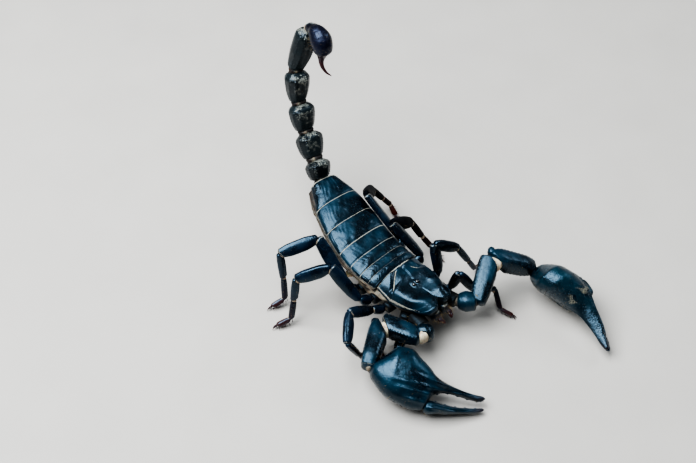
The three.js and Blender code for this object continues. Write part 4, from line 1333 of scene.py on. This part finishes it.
def add_claws(sculpture, root, tip, dorsal, size):
    """A pair of curved claws with a small spur between them, on a foot's end."""
    side = np.cross(dorsal, unit(tip - root))
    for sign in (1, -1):
        s = np.linspace(0, 1, 18)[:, None]
        start, end = root + sign * side * 0.2 * size, tip + sign * side * 0.55 * size
        peak = (root + end) / 2 + dorsal * 0.45 * size
        line = (1 - s) ** 2 * start + 2 * s * (1 - s) * peak + s ** 2 * end
        add_thread(sculpture, line, 0.26 * size, 0.05, warm=0.75)
    s = np.linspace(0, 1, 10)[:, None]
    add_thread(sculpture, root + s * (tip - root) * 0.45, 0.22 * size, 0.1, warm=0.75)


def add_thread(sculpture, line, thick, thin, **marks):
    """A tapering round spine along a line."""
    tangent = unit(np.gradient(line, axis=0))
    side = square_to([0.31, 0.2, 0.93], tangent)
    up = np.cross(tangent, side)
    s = np.linspace(0, 1, len(line))
    size = (thick + (thin - thick) * s) * dome(s + 0.01, 0.08)
    angle = np.arange(10) * 2 * math.pi / 10
    ring = np.cos(angle)[None, :, None] * side[:, None] + np.sin(angle)[None, :, None] * up[:, None]
    sculpture.add(line[:, None] + ring * size[:, None, None], **marks)


def add_spines(sculpture, start, end, dorsal, size, seed):
    """Short dark spines in two rows along the underside of a foot piece."""
    random = np.random.default_rng(seed)
    way = unit(end - start)
    side = np.cross(dorsal, way)
    s = np.linspace(0, 1, 8)[:, None]
    for row in (1, -1):
        for part in (0.25, 0.5, 0.75, 0.98):
            root = start + part * (end - start) - dorsal * 0.4 * size + row * side * 0.32 * size
            aim = -0.9 * dorsal + 0.7 * way + row * 0.5 * side + 0.15 * random.normal(size=3)
            line = root + s * unit(aim) * 0.4 * size
            add_thread(sculpture, line, 0.09 * size, 0.02, warm=0.8)


# Soft skins of the leg joints, from the body out: their width on legs of the fourth pair.
LEG_SKINS = [2.3, 2.1, 2.5, 2.2, 1.7, 1.4]


def add_leg_skins(name, joints, ways, side, scale):
    """The soft skin in all six joints of a leg, shifted to the inside of each bend."""
    hip = LEGS[name][0]
    before = unit(joints[0] - place([hip[0], 0.3 * hip[1], 8.0]))
    skins = Sculpture()
    for i, size in enumerate(LEG_SKINS):
        joint = joints[i] + 0.16 * size * scale * (ways[i] - before)
        rings = joint_skin(joint, before, ways[i], np.cross(ways[i], side), 0.66 * size * scale,
                           0.78 * size * scale, 0.9)
        skins.add(rings, pale=0.3 if i == 0 else 0.6, warm=0.2)
        before = ways[i]
    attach(skins.piece(f"{name}_joint_skins", MEMBRANE), "root")


def add_foot_claws(name, joints, ways, side, root, scale, seed):
    """The claws of a foot and the spines on its last two pieces."""
    claws = Sculpture()
    dorsal = unit(np.cross(ways[5], side))
    if dorsal[2] < 0:
        dorsal = -dorsal
    tip = joints[6] * [1, 1, 0] + [0, 0, 0.1]
    add_claws(claws, root + 0.2 * ways[5], tip, dorsal, scale)
    add_spines(claws, joints[5], root, dorsal, 1.5 * scale, seed)
    add_spines(claws, joints[4], joints[5], dorsal, 1.5 * scale, seed + 8)
    settle(claws.piece(f"{name}_claws", LEG_SHELL), f"{name}_foot")


def add_leg(name, number):
    """One leg: trochanter with femur, patella, and foot, with its claws and soft skins."""
    joints = place(LEGS[name])
    ways = ways_of(joints)
    side = unit(np.cross(ways[1], ways[2]))
    scale = LEG_SCALE[number - 1]
    sole = joints[6] - (joints[6] - joints[5]) * 0.26 + [0, 0, 0.25]

    def part(key, start, end, after=0.42, domes=(0.55, 0.6)):
        axis = unit(end - start)
        profile = [[t, depth * scale, width * scale] for t, depth, width in LEG_PROFILES[key]]
        under = -np.cross(axis, side)
        cut = 0.5 * scale
        return limb(start - 0.12 * axis, end + after * axis, -under, profile, domes=domes,
                    swell=leg_swell, slants=[(0, under, cut), (1, under, cut)])

    upper, middle, foot = Sculpture(), Sculpture(), Sculpture()
    for key, i in (("trochanter", 0), ("femur", 1)):
        rings, t, angle = part(key, joints[i], joints[i + 1])
        keels = 0.5 * (keel(angle, 58, 16) + keel(angle, 122, 16)) * ramp(t, 0.05, 0.2)
        # Painted shade: the dark mark darkens the underside of the trochanter and the femur.
        upper.add(rings, pale=0.45 * hump(t, 0.97, 0.02), bristle=0.12,
                  dark=0.8 * keel(angle, UNDERSIDE, 60), grain=keels * (key == "femur"))
    rings, t, angle = part("patella", joints[2], joints[3])
    middle.add(rings, pale=0.45 * hump(t, 0.97, 0.02), bristle=0.14)
    rings, t, angle = part("tibia", joints[3], joints[4])
    foot.add(rings, warm=0.12 * ramp(t, 0.3, 1), bristle=0.25)
    rings, t, angle = part("basitarsus", joints[4], joints[5])
    foot.add(rings, warm=0.12 + 0.3 * t, bristle=0.6)
    rings, t, angle = part("tarsus", joints[5], sole, after=0.35, domes=(0.5, 0.7))
    rings[..., 2] = np.maximum(rings[..., 2], 0.04)
    foot.add(rings, warm=0.6 + 0.35 * t, bristle=0.9)

    for key, sculpture in (("femur", upper), ("patella", middle), ("foot", foot)):
        # The far left legs' pieces below the femur take the shaded copy of the leg finish, which is
        # painted shade.
        shaded = key != "femur" and name in SHADED_LEGS
        piece = sculpture.piece(f"{name}_{key}_shell", SHADED_LEG_SHELL if shaded else LEG_SHELL)
        grow_hairs(piece, f"{name}_{key}_hairs", length=0.65, thickness=0.015, spacing=0.6,
                   seed=100 + 3 * number, lean=(0, 0, -0.25))
        if key == "femur":
            granulate(piece, radius=0.07, spacing=0.22, seed=120 + number)
        settle(piece, f"{name}_{key}")
    add_foot_claws(name, joints, ways, side, sole, scale, number)
    add_leg_skins(name, joints, ways, side, scale)


# ---- pedipalps ----------------------------------------------------------------------------
def arm_swell(t, angle):
    """Four beaded edges along a squarish arm piece."""
    edges = keel_pair(angle, 45, 7) + keel_pair(angle, 225, 7)
    return 1 + 0.05 * edges * beads(t, 13) * ramp(t, 0.05, 0.2) * ramp(t, 1, 0.9)


# Soft skins of the arm's joints: width, depth, reach and shift to the inside of the bend.
ARM_SKINS = [(2.8, 2.6, 1.4, 0.0), (2.9, 3.8, 1.9, 0.3), (3.8, 3.9, 2.9, 0.9), (2.0, 2.2, 0.9, 0.1)]
ELBOW = 2


def arm_ends(part, before, after, joint_gap):
    """How far an arm piece goes past its two joints, and how its ends are trimmed."""
    return {
        "coxa": ((0.0, 0.3), []),
        "trochanter": ((0.0, -0.2), [(1, after, 0.8 * max(joint_gap, 0))]),
        "femur": ((joint_gap, 0.2), [(0, -before, 0.5), (1, after, 2.2)]),
        "patella": ((-0.6, 0.3), [(0, -before, 2.6)]),
    }[part]


def add_arm_part(name, part, i, chain, ways, joint_gap):
    """One shell piece of a pedipalp's arm, with granules on its edges."""
    (near, far), slants = arm_ends(part, ways[i - 1], ways[i + 1], joint_gap)
    edged = part in ("femur", "patella")
    rings, t, angle = limb(chain[i] + near * ways[i], chain[i + 1] + far * ways[i], UP,
                           PEDIPALP_PROFILES[part], sides=88, rings=90, domes=(0.9, 0.6),
                           power=3.0 if edged else 2.3, swell=arm_swell if edged else None,
                           slants=slants)
    edges = keel_pair(angle, 45, 12) + keel_pair(angle, 225, 12)
    grain = (0.15 + 0.8 * edges) * ramp(t, 0.04, 0.12) * ramp(t, 0.98, 0.92)
    height = rings[..., 2] - rings[..., 2].mean(1, keepdims=True)
    sculpture = Sculpture()
    # Painted shade: the dark mark darkens the lower part of each arm piece.
    sculpture.add(rings, grain=0.2 * grain if part == "coxa" else grain, bristle=0.15,
                  pale=0.4 * hump(t, 0.975, 0.012), dark=0.7 * ramp(height, 0.6, -1.3))
    if part == "patella":
        add_elbow_bump(sculpture, chain[i], ways[i], ways[i - 1])
    finish, slot = (BELLY, "belly") if part == "coxa" else (SHELL, "shell")
    piece = sculpture.piece(f"pedipalp_{name}_{part}_shell", finish)
    grow_hairs(piece, f"pedipalp_{name}_{part}_hairs", length=0.8, thickness=0.02, spacing=0.7,
               seed=140 + i, lean=(0, 0, 0.1))
    granulate(piece, radius=0.11, spacing=0.3, seed=150 + i)
    settle(piece, f"pedipalp_{name}_{part}")


def add_arm_skins(name, chain, ways, pale):
    """The cream skin at the arm's joints, with a red spot on the elbow's."""
    skins = Sculpture()
    for i, (width, depth, reach, shift) in enumerate(ARM_SKINS):
        joint = chain[i + 1] + shift * unit(ways[i + 1] - ways[i])
        rings = joint_skin(joint, ways[i], ways[i + 1], UP, width, depth, reach)
        along = np.linspace(0, 1, len(rings))[:, None]
        height = rings[..., 2] - rings[..., 2].mean()
        spot = 0.9 * hump(along, 0.2, 0.12) * ramp(height, 0.8, 1.3) if i == ELBOW else 0
        skins.add(rings, pale=pale[i], warm=spot)
    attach(skins.piece(f"pedipalp_{name}_joint_skins", MEMBRANE), "root")


def add_elbow_bump(sculpture, elbow, way, before):
    """The blunt tooth on the inner front side of the patella's base."""
    inward = unit(before - way)
    start = elbow + 1.4 * way + 1.4 * inward
    tooth = limb(start, start + 2.0 * unit(0.3 * way + inward), UP,
                 [[0, 3.0, 2.8], [0.6, 2.0, 1.8], [1, 0.9, 0.9]], sides=32, rings=30,
                 domes=(0.8, 0.5))
    sculpture.add(tooth[0], grain=0.5)


def hand_rings(joints, facts, stations, turn, count=150, sides=104, relief=None):
    """Rings over a hand or finger, broad along its outer way, on the line from wrist to tip.

    Also gives how far along the hand each point is, and the section's angles.
    `turn` is how far the tip swings inwards, as that of a closing finger.
    """
    wrist, tip = joints[3], joints[4]
    axis = unit(tip - wrist)
    length = np.linalg.norm(tip - wrist)
    across = square_to(heading(facts["outer"]), axis)
    dorsal = np.cross(axis, across)
    if dorsal[2] < 0:
        dorsal = -dorsal
    table = np.array(stations)
    first, last = table[0, 0], table[-1, 0]
    along = first + (last - first) * near_ends(count)
    inner, edge, half = (smooth(along, table[:, 0], table[:, column]) for column in (1, 2, 3))
    slim_from, slim_to, slimmer = facts["slim"]
    edge = edge - slimmer * ramp(along, slim_from, slim_to) * ramp(along, 1.03, 0.8)
    angle, side_part, up_part = round_section(sides, 2.3)
    close = dome((along - first) * length + 0.02, 0.9) * dome((last - along) * length + 0.02, 0.8)
    middle, broad = (inner + edge) / 2, (edge - inner) / 2
    reach = middle[:, None] + side_part * (broad * close)[:, None]
    up = up_part * (half * close)[:, None]
    along = np.broadcast_to(along[:, None], reach.shape)
    if relief:
        up = up + relief(along, reach, up_part) * close[:, None]
    swing = turn * np.maximum(0, along - FINGER_ROOT) / (1 - FINGER_ROOT)
    lift = facts["bow"] * np.sin(math.pi * np.minimum(along, 1)) ** 1.3
    rings = (wrist + axis * (along * length)[..., None] + across * (reach - swing)[..., None]
             + dorsal * (up + lift)[..., None])
    return rings, along, angle


# Lengthwise ridges of the hand: how far out they run at the wrist, at the finger's base and at
# its tip, and their height.
HAND_RIDGES = [
    (-1.2, -0.2, 0.5, 0.22), (1.6, 1.7, 1.0, 0.75), (3.6, 3.3, 2.1, 0.34), (5.3, 5.6, 5.4, 0.4),
]


def hand_relief(along, reach, up_part):
    """Ridges on the upper side, with a valley on each side, and the same more faintly below."""
    total = 0
    for at_wrist, at_base, at_tip, height in HAND_RIDGES:
        line = smooth(along, [0.1, 0.55, 1.0], [at_wrist, at_base, at_tip])
        valleys = hump(reach, line - 0.75, 0.4) + hump(reach, line + 0.75, 0.4)
        ridge = hump(reach, line, 0.34) - 0.45 * valleys
        total = total + height * ridge * ramp(along, 0.14, 0.5) * ramp(along, 1.0, 0.8)
    return total * np.where(up_part > 0, up_part, 0.5 * up_part)


def finger_relief(along, reach, up_part):
    """Two ridges, each with a valley on its inner side."""
    total = 0
    for at_base, at_tip, height in ((6.2, 3.6, 0.3), (7.2, 4.3, 0.18)):
        line = smooth(along, [0.5, 0.75, 1.0], [at_base, at_base - 0.35, at_tip])
        total = total + height * (hump(reach, line, 0.3) - 0.5 * hump(reach, line - 0.6, 0.3))
    return total * up_part * ramp(along, 0.52, 0.6) * ramp(along, 1.0, 0.9)


def add_teeth(sculpture, joints, facts, stations, turn, inner_side):
    """A row of small blunt teeth along the facing edge of a finger, every fifth one larger."""
    rings, along, _ = hand_rings(joints, facts, stations, turn)
    middle = rings.shape[1] // 2 if inner_side else 0
    edge = (rings[:, middle] + rings[:, middle - 1]) / 2
    out = unit(edge - rings.mean(1))
    for number, part in enumerate(np.linspace(0.6, 0.985, 24)):
        spot, way = (np.array([np.interp(part, along[:, middle], line[:, axis])
                               for axis in range(3)]) for line in (edge, out))
        size = (0.34 if number % 5 == 0 else 0.2) * (1.25 - 0.5 * part)
        sculpture.add(ball(spot + 0.1 * size * way, size, sides=12), warm=0.15)


def add_hand(name, joints, facts, finish):
    """The broad hand with its fixed finger."""
    rings, along, angle = hand_rings(joints, facts, HAND_STATIONS, 0, relief=hand_relief)
    edges = ramp(np.abs(np.cos(angle)), 0.86, 0.99)
    spread = ramp(mottle(rings, 2.4, 160), -0.6, 0.7)
    grain = np.clip(facts["rough"] * (0.25 + 0.75 * spread) + 0.7 * edges, 0, 1)
    dust = 0.55 * hump(along, 0.5, 0.07) * ramp(mottle(rings, 1.3, 161), -0.3, 0.7)
    height = rings[..., 2] - rings[..., 2].mean(1, keepdims=True)
    # Painted shade on the hand's lower side; the darker tone towards the finger's tip is the
    # finger's own.
    dark = np.maximum(0.95 * ramp(height, 2.4, 0.0), 0.6 * ramp(along, 0.6, 0.85))
    sculpture = Sculpture()
    sculpture.add(rings, grain=grain * ramp(along, 0.03, 0.1) * ramp(along, 0.99, 0.9),
                  pale=dust * facts["dusty"], dark=dark, warm=0.25 * ramp(along, 0.85, 1.0),
                  bristle=0.22)
    add_teeth(sculpture, joints, facts, HAND_STATIONS, 0, False)
    hand = sculpture.piece(f"pedipalp_{name}_hand_shell", finish)
    grow_hairs(hand, f"pedipalp_{name}_hand_hairs", length=0.9, thickness=0.02, spacing=0.9,
               seed=162, lean=(0, 0, 0.1))
    granulate(hand, seed=163, **facts["granules"])
    settle(hand, f"pedipalp_{name}_hand")


def add_finger(name, joints, facts, finish):
    """The movable finger beside the hand."""
    turn = facts["closed"]
    rings, along, _ = hand_rings(joints, facts, FINGER_STATIONS, turn, count=90, sides=72,
                                 relief=finger_relief)
    sculpture = Sculpture()
    sculpture.add(rings, grain=facts["rough"] * 0.6 * ramp(along, 0.95, 0.85), dark=0.6,
                  warm=0.3 * ramp(along, 0.85, 1.0), bristle=0.3)
    add_teeth(sculpture, joints, facts, FINGER_STATIONS, turn, True)
    finger = sculpture.piece(f"pedipalp_{name}_finger_shell", finish)
    grow_hairs(finger, f"pedipalp_{name}_finger_hairs", length=0.8, thickness=0.02, spacing=0.8,
               seed=164, lean=(0, 0, 0.1))
    granulate(finger, radius=0.1, spacing=0.36, seed=165)
    settle(finger, f"pedipalp_{name}_finger")


def add_pedipalp(name, sign):
    """One arm with its hand: the chain of its joints starts at the root beside the mouth."""
    facts = PEDIPALPS[name]
    joints = place(facts["joints"])
    chain = np.concatenate([[place(mirrored(PEDIPALP_ROOT, sign))], joints])
    ways = ways_of(chain)
    for i, part in enumerate(PEDIPALP_PROFILES):
        add_arm_part(name, part, i, chain, ways, facts["joint_gap"])
    add_arm_skins(name, chain, ways, facts["skin_pale"])
    finish = GRAINED_HAND_SHELL if name == "left" else HAND_SHELL
    add_hand(name, joints, facts, finish)
    add_finger(name, joints, facts, finish)


def add_floor():
    bpy.ops.mesh.primitive_plane_add(size=6.0, location=(0, 0, 0))
    floor = bpy.context.object
    floor.name = "floor"
    floor.data.materials.append(floor_finish())


# ---- the whole animal ---------------------------------------------------------------------
SHELL = shell_finish()
HAND_SHELL = hand_finish()
GRAINED_HAND_SHELL = grained_hand_finish()
TAIL_SHELL = tail_finish()
TELSON_SHELL = telson_finish()
LEG_SHELL = leg_finish()
SHADED_LEG_SHELL = shaded_leg_finish()
BELLY = belly_finish()
COMB = comb_finish()
MEMBRANE = membrane_finish()
BRISTLE = bristle_finish()
EYES = eye_finish()
GRANULES = granule_tree()
HAIRS = hair_tree()

add_camera()
add_lights()
add_floor()
add_carapace()
add_eyes()
add_thorax()
add_sternum()
add_flank()
for plate in range(1, LAST_PLATE + 1):
    add_tergite(plate)
for plate in range(3, LAST_PLATE + 1):
    add_sternite(plate)
add_tail()
add_telson()
for half, half_sign in SIDES.items():
    add_chelicera(half, half_sign)
    add_coxae(half, half_sign)
    add_pectine(half, half_sign)
    add_pedipalp(half, half_sign)
for leg in LEGS:
    add_leg(leg, int(leg.split("_")[1]))
